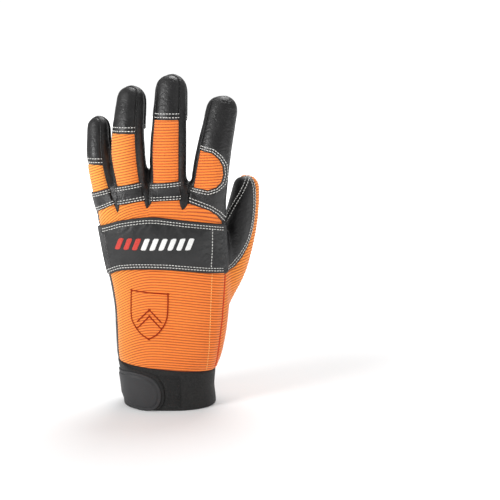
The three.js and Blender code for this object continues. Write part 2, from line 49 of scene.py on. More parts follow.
class Wire:
    # one socket of a tree, ready for arithmetic
    def __init__(self, plan, socket, node):
        self.plan, self.socket, self.node = plan, socket, node

    def sum(self, operation, *others):
        values = dict(enumerate((self,) + others))
        return self.plan.add("ShaderNodeMath", {"operation": operation}, values)

    def __add__(self, other):
        return self.sum("ADD", other)

    __radd__ = __add__

    def __mul__(self, other):
        return self.sum("MULTIPLY", other)

    __rmul__ = __mul__

    def __sub__(self, other):
        return self.sum("SUBTRACT", other)

    def __rsub__(self, other):
        return self.plan.add("ShaderNodeMath", {"operation": "SUBTRACT"}, {0: other, 1: self})

    def __truediv__(self, other):
        return self.sum("DIVIDE", other)

    def __pow__(self, power):
        return self.sum("POWER", power)

    def part(self, name):
        return Wire(self.plan, self.node.outputs[name], self.node)


class Plan:
    # adds nodes to a tree: type, settings first, then values or links of its inputs
    def __init__(self, tree):
        self.tree = tree

    def add(self, kind, settings=None, inputs=None, output=0):
        node = self.tree.nodes.new(kind)
        for key, value in (settings or {}).items():
            if key == "stops":
                for stop, (place, colour) in zip(node.color_ramp.elements, value):
                    stop.position, stop.color = place, colour
            else:
                setattr(node, key, value)
        for key, value in (inputs or {}).items():
            if isinstance(value, Wire):
                self.tree.links.new(value.socket, node.inputs[key])
            else:
                node.inputs[key].default_value = value
        return Wire(self, node.outputs[output] if len(node.outputs) else None, node)

    def blend(self, factor, first, second, way="MIX"):
        settings = {"data_type": "RGBA", "blend_type": way}
        return self.add("ShaderNodeMix", settings, {0: factor, 6: first, 7: second}, 2)

    def ranged(self, value, low, high, toLow=0.0, toHigh=1.0):
        inputs = {0: value, 1: low, 2: high, 3: toLow, 4: toHigh}
        return self.add("ShaderNodeMapRange", {"interpolation_type": "SMOOTHSTEP"}, inputs)


def newLook(name, build, **constant):
    # a material whose tree is filled by build(plan), which returns what varies over the surface
    look = bpy.data.materials.new(name)
    look.use_nodes = True
    tree = look.node_tree
    tree.nodes.clear()
    plan = Plan(tree)
    inputs = {key.replace("_", " "): value for key, value in constant.items()}
    inputs.update(build(plan))
    shader = plan.add("ShaderNodeBsdfPrincipled", {}, inputs)
    plan.add("ShaderNodeOutputMaterial", {}, {"Surface": shader})
    return look


def place(plan, stretch=(1, 1, 1), turn=(0, 0, 0)):
    spot = plan.add("ShaderNodeTexCoord", {}, {}, "Object")
    return plan.add("ShaderNodeMapping", {}, {"Vector": spot, "Scale": stretch, "Rotation": turn})


def noise(plan, spot, scale, detail=2.0, rough=0.5):
    return plan.add("ShaderNodeTexNoise", {}, {"Vector": spot, "Scale": scale, "Detail": detail, "Roughness": rough})


def bump(plan, height, strength, distance, under=None):
    inputs = {"Height": height, "Strength": strength, "Distance": distance}
    if under:
        inputs["Normal"] = under
    return plan.add("ShaderNodeBump", {}, inputs)


# besides the knit's own orange: a lighter colour painted as light on the sides the lamps fall on, a darker one painted
# as shade in the rib grooves, and an emission colour that paints a glow into the shade
knitLookSizes = {"pitch": 2.05, "crest": (0.98, 0.245, 0.026, 1), "grooveShade": (0.25, 0.022, 0.002, 1),
                 "paintedLight": (1.0, 0.44, 0.06, 1), "glow": (1.0, 0.09, 0.004, 1)}


def orangeKnit(plan):
    spot = place(plan)
    rib = plan.add("ShaderNodeAttribute", {"attribute_name": "rib"}, {}, "Fac")
    wave = (rib * (math.pi / knitLookSizes["pitch"])).sum("SINE").sum("ABSOLUTE")
    # painted shade: the colour darkens toward the grooves between the ribs
    grooveShade = (1 - wave) ** 1.1
    across = plan.add("ShaderNodeSeparateXYZ", {}, {0: spot})
    loops = (across.part("X") * 2600 + noise(plan, spot, 90) * 6).sum("SINE")
    blotch = plan.ranged(noise(plan, spot, 45, 3), 0.35, 0.65)
    fuzz = noise(plan, spot, 1500, 2)
    # painted light: the knit turns lighter and yellower toward its left side and toward the gusset on its right
    paintedLight = plan.ranged(across.part("X"), -0.012, -0.055)
    paintedLightRight = plan.ranged(across.part("X"), 0.036, 0.056)
    plain = plan.blend(paintedLight * 0.85 + paintedLightRight * 0.5, knitLookSizes["crest"], knitLookSizes["paintedLight"])
    dark = plan.blend(grooveShade, plain, knitLookSizes["grooveShade"])
    tone = plan.blend(blotch * 0.12, dark, (1.0, 0.30, 0.04, 1))
    colour = plan.blend((fuzz - 0.4) * 0.25, tone, (1.0, 0.36, 0.08, 1))
    height = wave * 0.7 + loops * 0.12 + fuzz * 0.25
    return {"Base Color": colour, "Roughness": plan.ranged(fuzz, 0.3, 0.7, 0.72, 0.9),
            "Normal": bump(plan, height, 0.55, 0.0004)}


def grain(plan, cell, creases, strength):
    spot = place(plan)
    wander = plan.add("ShaderNodeVectorMath", {"operation": "MULTIPLY_ADD"},
                      {0: noise(plan, spot, 160).part("Color"), 1: (0.0022,) * 3, 2: spot})
    pebbles = plan.add("ShaderNodeTexVoronoi", {"feature": "SMOOTH_F1"},
                       {"Vector": wander, "Scale": 1 / cell, "Smoothness": 0.4})
    folds = noise(plan, place(plan, (1, 1, 1.7)), creases, 3, 0.55)
    lines = (folds * 2 - 1).sum("ABSOLUTE")
    fine = noise(plan, spot, 1900, 2)
    soft = bump(plan, plan.ranged(lines, 0.0, 0.16), 0.28, 0.0005)
    return spot, pebbles, folds, fine, bump(plan, pebbles * 0.8 + fine * 0.3, strength, 0.00025, soft)


def blackLeather(plan):
    spot, pebbles, folds, fine, normal = grain(plan, 0.0011, 95, 0.45)
    worn = plan.ranged(noise(plan, spot, 60, 4, 0.6), 0.45, 0.75)
    colour = plan.blend(worn * 0.5, (0.0055, 0.0052, 0.0056, 1), (0.015, 0.0142, 0.0147, 1))
    rough = plan.ranged(noise(plan, spot, 120, 3), 0.3, 0.7, 0.36, 0.5) + pebbles * 0.06
    return {"Base Color": colour, "Roughness": rough, "Normal": normal}


def patchLeather(plan):
    spot, pebbles, folds, fine, normal = grain(plan, 0.0009, 70, 0.35)
    worn = plan.ranged(noise(plan, spot, 50, 4, 0.6), 0.4, 0.75)
    colour = plan.blend(worn * 0.5, (0.0095, 0.0098, 0.0102, 1), (0.019, 0.019, 0.0195, 1))
    rough = plan.ranged(noise(plan, spot, 90, 3), 0.3, 0.7, 0.44, 0.58)
    return {"Base Color": colour, "Roughness": rough, "Normal": normal}


def cuffElastic(plan):
    spot = place(plan)
    part = plan.add("ShaderNodeSeparateXYZ", {}, {0: spot})
    turn = part.part("Y").sum("ARCTAN2", part.part("X"))
    warp = (turn * 300).sum("SINE")
    weft = (part.part("Z") * 5200).sum("SINE")
    weave = warp * weft
    pile = noise(plan, spot, 900, 3)
    faded = plan.ranged(noise(plan, spot, 55, 4, 0.65), 0.4, 0.75)
    colour = plan.blend(faded * 0.6 + weave * 0.1, (0.0045, 0.0043, 0.0042, 1), (0.0135, 0.0125, 0.0115, 1))
    return {"Base Color": colour, "Roughness": plan.ranged(pile, 0.3, 0.7, 0.78, 0.95),
            "Normal": bump(plan, weave * 0.3 + pile * 0.6, 0.5, 0.0003)}


def tabRubber(plan):
    spot = place(plan)
    fine = noise(plan, spot, 2400, 2)
    cloud = plan.ranged(noise(plan, spot, 40, 3), 0.35, 0.7)
    colour = plan.blend(cloud * 0.5, (0.026, 0.026, 0.028, 1), (0.037, 0.037, 0.039, 1))
    return {"Base Color": colour, "Roughness": plan.ranged(fine, 0.3, 0.7, 0.5, 0.62),
            "Normal": bump(plan, fine, 0.25, 0.0001)}


def hookTape(plan):
    spot = place(plan)
    pile = noise(plan, spot, 1300, 4, 0.7)
    loops = plan.add("ShaderNodeTexVoronoi", {"feature": "F1"}, {"Vector": spot, "Scale": 900})
    colour = plan.blend(plan.ranged(pile, 0.5, 0.75), (0.004, 0.004, 0.004, 1), (0.035, 0.032, 0.029, 1))
    return {"Base Color": colour, "Roughness": plan.ranged(pile, 0.3, 0.7, 0.8, 1.0),
            "Normal": bump(plan, pile + loops * 0.6, 0.9, 0.0006)}


def threadLook(plain, shaded):
    def build(plan):
        spot = place(plan)
        twist = noise(plan, spot, 2200, 2)
        colour = plan.blend(plan.ranged(twist, 0.35, 0.65), plain, shaded)
        return {"Base Color": colour, "Roughness": plan.ranged(twist, 0.3, 0.7, 0.5, 0.7),
                "Normal": bump(plan, twist, 0.4, 0.0002)}
    return build


looks = {
    # the knit's emission paints a faint glow, lifting its shaded parts toward red-orange
    "orangeKnit": newLook("orangeKnit", orangeKnit, Sheen_Weight=0.25, Sheen_Roughness=0.5,
                          Emission_Color=knitLookSizes["glow"], Emission_Strength=0.05),
    "blackLeather": newLook("blackLeather", blackLeather, Specular_IOR_Level=0.55),
    "patchLeather": newLook("patchLeather", patchLeather, Specular_IOR_Level=0.5),
    "cuffElastic": newLook("cuffElastic", cuffElastic, Sheen_Weight=0.12, Sheen_Roughness=0.6),
    "tabRubber": newLook("tabRubber", tabRubber, Specular_IOR_Level=0.5),
    "hookTape": newLook("hookTape", hookTape, Sheen_Weight=0.2),
    "lining": newLook("lining", cuffElastic, Sheen_Weight=0.1, Sheen_Roughness=0.6),
    # the gusset seam's welt is a darker red-orange than the knit: a real welt, with painted shade of the seam's crease
    # in its colour
    "seamShadeOrange": newLook("seamShadeOrange", threadLook((0.80, 0.060, 0.003, 1), (0.55, 0.030, 0.002, 1))),
    "whiteThread": newLook("whiteThread", threadLook((0.83, 0.83, 0.80, 1), (0.62, 0.61, 0.58, 1))),
    "greyThread": newLook("greyThread", threadLook((0.13, 0.12, 0.12, 1), (0.06, 0.055, 0.055, 1))),
    "goldThread": newLook("goldThread", threadLook((1.0, 0.62, 0.22, 1), (0.95, 0.4, 0.08, 1))),
    "redThread": newLook("redThread", threadLook((0.40, 0.034, 0.003, 1), (0.22, 0.014, 0.002, 1)), Specular_IOR_Level=0.15),
    "trimWhite": newLook("trimWhite", threadLook((0.85, 0.85, 0.84, 1), (0.72, 0.72, 0.70, 1))),
    "trimRed": newLook("trimRed", threadLook((0.62, 0.045, 0.03, 1), (0.48, 0.03, 0.02, 1))),
}
print("materials made:", len(looks))


# ---- sheets of triangles, in millimetres ----

def interpolate(table, at):
    # a smooth line through rows of a table whose first column is the place
    rows = np.array(table, float)
    xs, ys = rows[:, 0], rows[:, 1:]
    slopes = np.gradient(ys, xs, axis=0)
    at = np.clip(np.atleast_1d(at), xs[0], xs[-1])
    i = np.clip(np.searchsorted(xs, at) - 1, 0, len(xs) - 2)
    h = (xs[i + 1] - xs[i])[:, None]
    t = ((at - xs[i])[:, None]) / h
    a, b = ys[i], ys[i + 1]
    m, n = slopes[i] * h, slopes[i + 1] * h
    return (2 * t**3 - 3 * t**2 + 1) * a + (t**3 - 2 * t**2 + t) * m + (3 * t**2 - 2 * t**3) * b + (t**3 - t**2) * n


def smoothLine(points, steps=8, closed=False):
    # points along a smooth line through the given ones
    given = np.array(points, float)
    count = len(given)
    spans = count if closed else count - 1
    made = []
    for i in range(spans):
        if closed:
            p0, p1, p2, p3 = (given[(i + k) % count] for k in (-1, 0, 1, 2))
        else:
            p1, p2 = given[i], given[i + 1]
            p0 = given[i - 1] if i else 2 * p1 - p2
            p3 = given[i + 2] if i + 2 < count else 2 * p2 - p1
        for t in np.arange(steps) / steps:
            made.append(0.5 * (2 * p1 + (p2 - p0) * t + (2 * p0 - 5 * p1 + 4 * p2 - p3) * t**2
                               + (3 * p1 - p0 - 3 * p2 + p3) * t**3))
    if not closed:
        made.append(given[-1])
    return np.array(made)


def depthInside(points, outline):
    # distance to a closed outline, positive inside it
    outline = np.array(outline, float)
    best = np.full(len(points), 1e9)
    inside = np.zeros(len(points), bool)
    x, y = points[:, 0], points[:, 1]
    for p, q in zip(outline, np.roll(outline, -1, 0)):
        edge = q - p
        share = np.clip(((points - p) @ edge) / max(edge @ edge, 1e-9), 0, 1)
        gap = points - p - share[:, None] * edge
        best = np.minimum(best, (gap**2).sum(1))
        if p[1] != q[1]:
            crossing = (q[0] - p[0]) * (y - p[1]) / (q[1] - p[1]) + p[0]
            inside ^= ((p[1] > y) != (q[1] > y)) & (x < crossing)
    best = np.sqrt(best)
    return np.where(inside, best, -best)


def distanceTo(points, line):
    best = np.full(len(points), 1e9)
    for p, q in zip(line[:-1], line[1:]):
        edge = q - p
        share = np.clip(((points - p) @ edge) / max(edge @ edge, 1e-9), 0, 1)
        best = np.minimum(best, ((points - p - share[:, None] * edge) ** 2).sum(1))
    return np.sqrt(best)


def ramp(value, low, high):
    t = np.clip((value - low) / (high - low), 0, 1)
    return t * t * (3 - 2 * t)


class Sheet:
    # points, triangles and named values at the points
    def __init__(self, points, triangles, values=None):
        self.points = np.asarray(points, float)
        self.triangles = np.asarray(triangles, np.int64)
        self.values = dict(values or {})

    def copy(self):
        return Sheet(self.points.copy(), self.triangles.copy(), {k: v.copy() for k, v in self.values.items()})

    def normals(self):
        p = self.points[self.triangles]
        face = np.cross(p[:, 1] - p[:, 0], p[:, 2] - p[:, 0])
        total = np.zeros_like(self.points)
        for corner in range(3):
            for axis in range(3):
                total[:, axis] += np.bincount(self.triangles[:, corner], face[:, axis], len(self.points))
        return total / np.maximum(np.linalg.norm(total, axis=1), 1e-12)[:, None]

    def slice(self, field, level=0.0, snap=0.07):
        # puts points where a field crosses a level, and says which side each point is on
        f = field - level
        f = np.where(np.abs(f) < snap, 0.0, f)
        side = np.sign(f).astype(np.int64)
        tri = self.triangles
        s = side[tri]
        crossed = (s.max(1) > 0) & (s.min(1) < 0)
        if not crossed.any():
            return side, field
        cut, signs = tri[crossed], s[crossed]
        total = signs.sum(1)
        lone = np.where(total == 0, np.argmax(signs == 0, 1),
                        np.argmax(signs == -np.sign(total)[:, None], 1))
        rows = np.arange(len(cut))
        v0, v1, v2 = (cut[rows, (lone + k) % 3] for k in range(3))
        split = total != 0
        a = np.concatenate([v0[split], v2[split], v1[~split]])
        b = np.concatenate([v1[split], v0[split], v2[~split]])
        low, high = np.minimum(a, b), np.maximum(a, b)
        keys, where = np.unique(low * len(self.points) + high, return_inverse=True)
        low, high = keys // len(self.points), keys % len(self.points)
        t = f[low] / (f[low] - f[high])
        first = len(self.points)
        mix = lambda v: v[low] + (v[high] - v[low]) * (t[:, None] if v.ndim > 1 else t)
        self.points = np.concatenate([self.points, mix(self.points)])
        for key, value in self.values.items():
            self.values[key] = np.concatenate([value, mix(value)])
        made = first + where
        n = int(split.sum())
        p01, p20, p12 = made[:n], made[n:2 * n], made[2 * n:]
        w0, w1, w2 = v0[split], v1[split], v2[split]
        z0, z1, z2 = v0[~split], v1[~split], v2[~split]
        self.triangles = np.concatenate([
            tri[~crossed], np.stack([w0, p01, p20], 1), np.stack([p01, w1, w2], 1),
            np.stack([p01, w2, p20], 1), np.stack([z0, z1, p12], 1), np.stack([z0, p12, z2], 1)])
        side = np.concatenate([side, np.zeros(len(keys), np.int64)])
        return side, np.concatenate([field, np.full(len(keys), float(level))])

    def trimmed(self, field, level=0.0):
        # only the part where the field is above the level, in one body
        part = self.copy()
        side, _ = part.slice(field, level)
        s = side[part.triangles]
        part.triangles = part.triangles[(s.min(1) >= 0) & (s.max(1) > 0)]
        return part.largest()

    def largest(self):
        label = np.arange(len(self.points))
        tri = self.triangles
        while True:
            low = label[tri].min(1)
            new = label.copy()
            for corner in range(3):
                np.minimum.at(new, tri[:, corner], low)
            new = new[new]
            if (new == label).all():
                break
            label = new
        names, counts = np.unique(label[tri[:, 0]], return_counts=True)
        self.triangles = tri[label[tri[:, 0]] == names[np.argmax(counts)]]
        return self.compact()

    def compact(self):
        used, index = np.unique(self.triangles, return_inverse=True)
        self.points = self.points[used]
        self.values = {k: v[used] for k, v in self.values.items()}
        self.triangles = index.reshape(-1, 3)
        return self

    def rim(self):
        # directed edges that only one triangle uses
        tri = self.triangles
        edges = np.concatenate([tri[:, [0, 1]], tri[:, [1, 2]], tri[:, [2, 0]]])
        keys = np.sort(edges, 1) @ np.array([len(self.points), 1])
        _, first, counts = np.unique(keys, return_index=True, return_counts=True)
        return edges[first[counts == 1]]

    def fromRim(self):
        # each point's distance to the sheet's rim
        edges = self.rim()
        a, b = self.points[edges[:, 0]], self.points[edges[:, 1]]
        spots = np.concatenate([a, (a + b) / 2])
        tree = KDTree(len(spots))
        for i, spot in enumerate(spots):
            tree.insert(spot, i)
        tree.balance()
        return np.array([tree.find(p)[2] for p in self.points])

    def banded(self, levels):
        # extra rows of points along the rim, for a rounded edge
        self.values["rim"] = self.fromRim()
        for level in levels:
            self.slice(self.values["rim"], level, 0.05)
        return self

    def slab(self, outer, inner, name, look):
        # a closed shell between two offsets along the normals
        normals = self.values["normal"]
        normals = normals / np.linalg.norm(normals, axis=1)[:, None]
        top = self.points + normals * np.broadcast_to(outer, len(self.points))[:, None]
        low = self.points + normals * np.broadcast_to(inner, len(self.points))[:, None]
        count = len(self.points)
        edges = self.rim()
        a, b = edges[:, 0], edges[:, 1]
        faces = np.concatenate([
            self.triangles, self.triangles[:, ::-1] + count,
            np.stack([b, a, a + count], 1), np.stack([b, a + count, b + count], 1)])
        values = {}
        for key in ("rib", "ribDepth"):
            if key in self.values:
                below = self.values[key] * (0.0 if key == "ribDepth" else 1.0)
                values[key] = np.concatenate([self.values[key], below])
        self.outer = Sheet(top, self.triangles, {"normal": normals, **{k: v for k, v in self.values.items() if k != "normal"}})
        return newPiece(pieceName(name), np.concatenate([top, low]), faces, look, values)

    def level(self, field, level):
        # the lines along which a field has a value, as ordered points with their normals
        f = field - level
        f = np.where(np.abs(f) < 1e-6, 1e-6, f)
        s = f[self.triangles] > 0
        crossed = self.triangles[(s.sum(1) > 0) & (s.sum(1) < 3)]
        links = {}
        for tri in crossed:
            ends = []
            for i in range(3):
                p, q = tri[i], tri[(i + 1) % 3]
                if (f[p] > 0) != (f[q] > 0):
                    ends.append((min(p, q), max(p, q)))
            for one, other in (ends, ends[::-1]):
                links.setdefault(one, []).append(other)
        normals = self.normals()
        lines, seen = [], set()
        starts = [k for k, v in links.items() if len(v) == 1] + list(links)
        for start in starts:
            if start in seen:
                continue
            chain, now = [], start
            while now is not None and now not in seen:
                seen.add(now)
                chain.append(now)
                now = next((n for n in links[now] if n not in seen), None)
            keys = np.array(chain)
            t = (f[keys[:, 0]] / (f[keys[:, 0]] - f[keys[:, 1]]))[:, None]
            spots = self.points[keys[:, 0]] * (1 - t) + self.points[keys[:, 1]] * t
            ups = normals[keys[:, 0]] * (1 - t) + normals[keys[:, 1]] * t
            closed = start in links.get(chain[-1], [])
            if closed:
                spots, ups = np.concatenate([spots, spots[:1]]), np.concatenate([ups, ups[:1]])
            if len(spots) > 3:
                lines.append((spots, ups / np.linalg.norm(ups, axis=1)[:, None]))
        return lines


def pieceName(node):
    first, *rest = node.split("_")
    return first + "".join(word.capitalize() for word in rest) + "Piece"


def newPiece(name, points, faces, look, values=None):
    mesh = bpy.data.meshes.new(name)
    mesh.from_pydata((np.asarray(points) * mm).tolist(), [], [list(map(int, f)) for f in faces])
    for key, value in (values or {}).items():
        mesh.attributes.new(key, "FLOAT", "POINT").data.foreach_set("value", np.asarray(value, np.float32))
    mesh.materials.append(looks[look])
    mesh.update()
    mesh.shade_smooth()
    mesh.set_sharp_from_angle(angle=math.radians(62))
    piece = bpy.data.objects.new(name, mesh)
    scene.collection.objects.link(piece)
    return piece


# ---- the glove's form: hand, fingers and thumb in one smooth body ----

form = {"cuffHeight": 32.0, "palmLength": 148.0, "palmWidth": 100.0, "palmDepth": 46.0, "middleLength": 115.0,
        "fingerWidth": 27.6, "fingerDepth": 0.94, "thumbLength": 127.0, "thumbWidth": 27.0, "thumbRoll": 120.0,
        "voxel": 1.35, "grow": -0.15, "smoothing": 14, "cuffTilt": 0.1}
# height, then reach to the little finger and to the thumb, then depth to the back and to the palm
handSections = [
    (-0.06, .39, .37, .522, .518), (-.01, .393, .378, .525, .52), (.035, .401, .405, .54, .53), (.1, .407, .428, .545, .535),
    (.2, .411, .452, .535, .535), (.33, .42, .472, .52, .53), (.46, .45, .475, .505, .505),
    (.58, .49, .468, .49, .47), (.7, .512, .458, .465, .44), (.8, .525, .455, .42, .39),
    (.88, .515, .44, .335, .31), (.935, .48, .35, .21, .21), (.96, .42, .25, .08, .09)]
fingers = {
    "pinky": {"root": (-.395, .02, .73), "bend": (-.508, .1, .41), "tip": (-.53, .34, .72), "widths": (.8, .7, .63),
              "roll": -41, "back": (-54, 61), "thumbSide": 128, "littleSide": None, "cap": .408, "pad": .45},
    "ring": {"root": (-.222, -.02, .73), "bend": (-.288, .03, .52), "tip": (-.275, .34, .92), "widths": (.95, .935, .8),
             "roll": -30, "back": (-50, 63), "thumbSide": 122, "littleSide": -120, "cap": .612, "pad": .635},
    "middle": {"root": (.013, -.04, .73), "bend": (.02, .01, .52), "tip": (.035, .32, .995), "widths": (1.0, .98, .85),
               "roll": -17, "back": (-46, 56), "thumbSide": 116, "littleSide": -118, "cap": .7, "pad": .69},
    "index": {"root": (.28, -.02, .71), "bend": (.352, .02, .46), "tip": (.42, .32, .88), "widths": (1.08, .97, .87),
              "roll": -10, "back": (-45, 110), "thumbSide": None, "littleSide": -115, "cap": None, "pad": None},
}
thumbStations = [
    (.2, .16, .2, 1.3, 1.2), (.32, .26, .4, 1.32, 1.14), (.455, .34, .59, 1.28, 1.08), (.533, .4, .77, 1.13, .98),
    (.58, .46, .94, .94, .87), (.603, .5, 1.06, .76, .76)]


def reachOf(angle, halfDepth, halfWidth, power):
    return ((np.abs(np.cos(angle)) / halfDepth) ** power + (np.abs(np.sin(angle)) / halfWidth) ** power) ** (-1 / power)


def axisThrough(points, shares):
    # an even smooth line through the points, at shares of its length by points
    pts = np.array(points, float)
    count = len(pts)
    made = []
    for share in shares:
        place = share * (count - 1)
        i = min(int(place), count - 2)
        t = place - i
        p1, p2 = pts[i], pts[i + 1]
        p0 = pts[i - 1] if i else 2 * p1 - p2
        p3 = pts[i + 2] if i + 2 < count else 2 * p2 - p1
        d0, d1, d2 = (np.linalg.norm(b - a) ** 0.5 for a, b in ((p0, p1), (p1, p2), (p2, p3)))
        m1 = ((p1 - p0) / d0 - (p2 - p0) / (d0 + d1) + (p2 - p1) / d1) * d1
        m2 = ((p2 - p1) / d1 - (p3 - p1) / (d1 + d2) + (p3 - p2) / d2) * d1
        made.append(p1 + m1 * t + (-3 * p1 + 3 * p2 - 2 * m1 - m2) * t**2 + (2 * p1 - 2 * p2 + m1 + m2) * t**3)
    return np.array(made)


def makeDigit(points, widths, roll, power, depthShare=None):
    shares = np.linspace(0, 1, 60)
    centre = axisThrough(points, shares)
    along = np.gradient(centre, axis=0)
    along /= np.linalg.norm(along, axis=1)[:, None]
    across, deep = widths(shares)
    tip = across[-1] / 2
    below, above = np.linspace(-30, -1, 24), np.linspace(1, tip + 8, 18)
    centre = np.concatenate([centre[0] + below[:, None] * along[0], centre, centre[-1] + above[:, None] * along[-1]])
    along = np.concatenate([np.repeat(along[:1], 24, 0), along, np.repeat(along[-1:], 18, 0)])
    span = np.linalg.norm(np.diff(centre[24:84], axis=0), axis=1).sum()
    share = np.concatenate([below / span, shares, 1 + above / span])
    facing = np.array([math.sin(math.radians(roll)), -math.cos(math.radians(roll)), 0])
    side = np.cross(along, facing)
    side /= np.linalg.norm(side, axis=1)[:, None]
    back = np.cross(side, along)
    wide = np.concatenate([np.full(24, across[0]), across, np.full(18, across[-1])]) / 2
    tall = np.concatenate([np.full(24, deep[0]), deep, np.full(18, deep[-1])]) / 2
    return {"centre": centre, "along": along, "side": side, "back": back, "wide": wide, "tall": tall,
            "share": share, "tip": tip, "power": power, "span": span}


def digitSpot(digit, share, angle, forward=0.0, swell=1.0, grow=0.0):
    i = int(np.argmin(np.abs(digit["share"] - share)))
    turn = np.radians(angle)
    reach = reachOf(turn, (digit["tall"][i] + grow) * swell, (digit["wide"][i] + grow) * swell, digit["power"])
    return (digit["centre"][i] + np.multiply.outer(reach * np.cos(turn), digit["back"][i])
            + np.multiply.outer(reach * np.sin(turn), digit["side"][i]) + forward * digit["along"][i])


def loft(rings):
    rings = np.array(rings)
    rows, count = rings.shape[:2]
    points = np.concatenate([rings.reshape(-1, 3), rings[0].mean(0)[None], rings[-1].mean(0)[None]])
    i = np.arange(count)
    j = (i + 1) % count
    faces = [np.concatenate([np.stack([r * count + i, r * count + j, (r + 1) * count + j], 1),
                             np.stack([r * count + i, (r + 1) * count + j, (r + 1) * count + i], 1)])
             for r in range(rows - 1)]
    faces.append(np.stack([j, i, np.full(count, rows * count)], 1))
    last = (rows - 1) * count
    faces.append(np.stack([last + i, last + j, np.full(count, rows * count + 1)], 1))
    return points, np.concatenate(faces)


def handLoft(grow):
    rings = []
    turns = np.linspace(0, 2 * math.pi, 96, endpoint=False)
    for height in np.linspace(handSections[0][0], handSections[-1][0], 60):
        little, thumb, back, front = interpolate(handSections, height)[0]
        little, thumb = little * form["palmWidth"] + grow, thumb * form["palmWidth"] + grow
        centre, half = (thumb - little) / 2, (thumb + little) / 2
        deep = np.where(np.cos(turns) > 0, back, front) * form["palmDepth"] + grow
        angle = np.arctan2(half * np.sin(turns), deep * np.cos(turns))
        reach = reachOf(angle, deep, half, 2.35)
        z = np.full(len(turns), form["cuffHeight"] + height * form["palmLength"])
        rings.append(np.stack([centre + reach * np.sin(angle), -reach * np.cos(angle), z], 1))
    return loft(rings)


def digitLoft(digit, grow):
    angles = np.linspace(0, 360, 48, endpoint=False)
    rings = [digitSpot(digit, share, angles, 0, 1, grow) for share in np.linspace(0, 1, 30)]
    for turn in np.radians(np.arange(8, 90, 8)):
        swell = math.cos(turn) ** 0.9
        rings.append(digitSpot(digit, 1, angles, (digit["tip"] + grow) * math.sin(turn), swell, grow))
    return loft(rings)


def makeDigits():
    made = {}
    for name, row in fingers.items():
        rootZ = form["cuffHeight"] + row["root"][2] * form["palmLength"]
        tip = row["widths"][2] * form["fingerWidth"] / 2
        at = lambda p, z: (p[0] * form["palmWidth"], p[1] * form["palmDepth"], z)
        points = [at(row["root"], rootZ), at(row["bend"], rootZ + row["bend"][2] * form["middleLength"]),
                  at(row["tip"], rootZ + row["tip"][2] * form["middleLength"] - tip)]
        widths = lambda s, w=row["widths"]: (np.interp(s, (0, .5, 1), w) * form["fingerWidth"],
                                             np.interp(s, (0, .5, 1), w) * form["fingerWidth"] * form["fingerDepth"])
        made[name] = makeDigit(points, widths, row["roll"], 2.3)
        made[name].update(rootZ=rootZ, cap=row["cap"], pad=row["pad"])
    stations = np.array(thumbStations)
    points = [(x * form["palmWidth"], y * form["palmDepth"], form["cuffHeight"] + z * form["thumbLength"])
              for x, y, z in stations[:, :3]]
    shares = np.linspace(0, 1, len(stations))
    widths = lambda s: (np.interp(s, shares, stations[:, 3]) * form["thumbWidth"],
                        np.interp(s, shares, stations[:, 4]) * form["thumbWidth"])
    made["thumb"] = makeDigit(points, widths, form["thumbRoll"], 2.15)
    return made


def digitPlace(digit, points):
    # where points lie round a digit: share along it, angle in degrees, distance off its axis and off its skin
    nearest = np.zeros(len(points), np.int64)
    for start in range(0, len(points), 20000):
        part = points[start:start + 20000]
        gap = ((part[:, None] - digit["centre"][None]) ** 2).sum(2)
        nearest[start:start + 20000] = gap.argmin(1)
    away = points - digit["centre"][nearest]
    forward = (away * digit["along"][nearest]).sum(1)
    x = (away * digit["back"][nearest]).sum(1)
    y = (away * digit["side"][nearest]).sum(1)
    angle = np.arctan2(y, x)
    off = np.hypot(x, y)
    skin = off - reachOf(angle, digit["tall"][nearest], digit["wide"][nearest], digit["power"])
    return {"share": digit["share"][nearest], "angle": np.degrees(angle), "off": off, "skin": skin,
            "sideways": y, "beyond": (digit["share"][nearest] - 1) * digit["span"] + forward}


digits = makeDigits()


def makeForm():
    parts = [handLoft(form["grow"])] + [digitLoft(d, form["grow"]) for d in digits.values()]
    points, faces, first = [], [], 0
    for p, f in parts:
        points.append(p)
        faces.append(f + first)
        first += len(p)
    mesh = bpy.data.meshes.new("form")
    mesh.from_pydata(np.concatenate(points).tolist(), [], np.concatenate(faces).tolist())
    block = bpy.data.objects.new("form", mesh)
    scene.collection.objects.link(block)
    remesh = block.modifiers.new("remesh", "REMESH")
    remesh.mode = "VOXEL"
    remesh.voxel_size = form["voxel"]
    made = bpy.data.meshes.new_from_object(block.evaluated_get(bpy.context.evaluated_depsgraph_get()))
    bpy.data.objects.remove(block)
    co = np.zeros(len(made.vertices) * 3)
    made.vertices.foreach_get("co", co)
    co = co.reshape(-1, 3)
    made.calc_loop_triangles()
    tri = np.zeros(len(made.loop_triangles) * 3, np.int32)
    made.loop_triangles.foreach_get("vertices", tri)
    edges = np.zeros(len(made.edges) * 2, np.int32)
    made.edges.foreach_get("vertices", edges)
    edges = edges.reshape(-1, 2)
    bpy.data.meshes.remove(made)
    degree = np.bincount(edges.ravel(), minlength=len(co))[:, None]
    for _ in range(form["smoothing"]):
        total = np.zeros_like(co)
        for axis in range(3):
            total[:, axis] = (np.bincount(edges[:, 0], co[edges[:, 1], axis], len(co))
                              + np.bincount(edges[:, 1], co[edges[:, 0], axis], len(co)))
        co += 0.6 * (total / degree - co)
    return Sheet(co, tri.reshape(-1, 3))


body = makeForm()
body.values["normal"] = body.normals()
print("form made:", len(body.points), "points")


# ---- where each panel lies ----

def onHand(points):
    return [(x * form["palmWidth"], form["cuffHeight"] + z * form["palmLength"]) for x, z in points]


def onThumb(points):
    return [(x * form["palmWidth"], form["cuffHeight"] + z * form["thumbLength"]) for x, z in points]


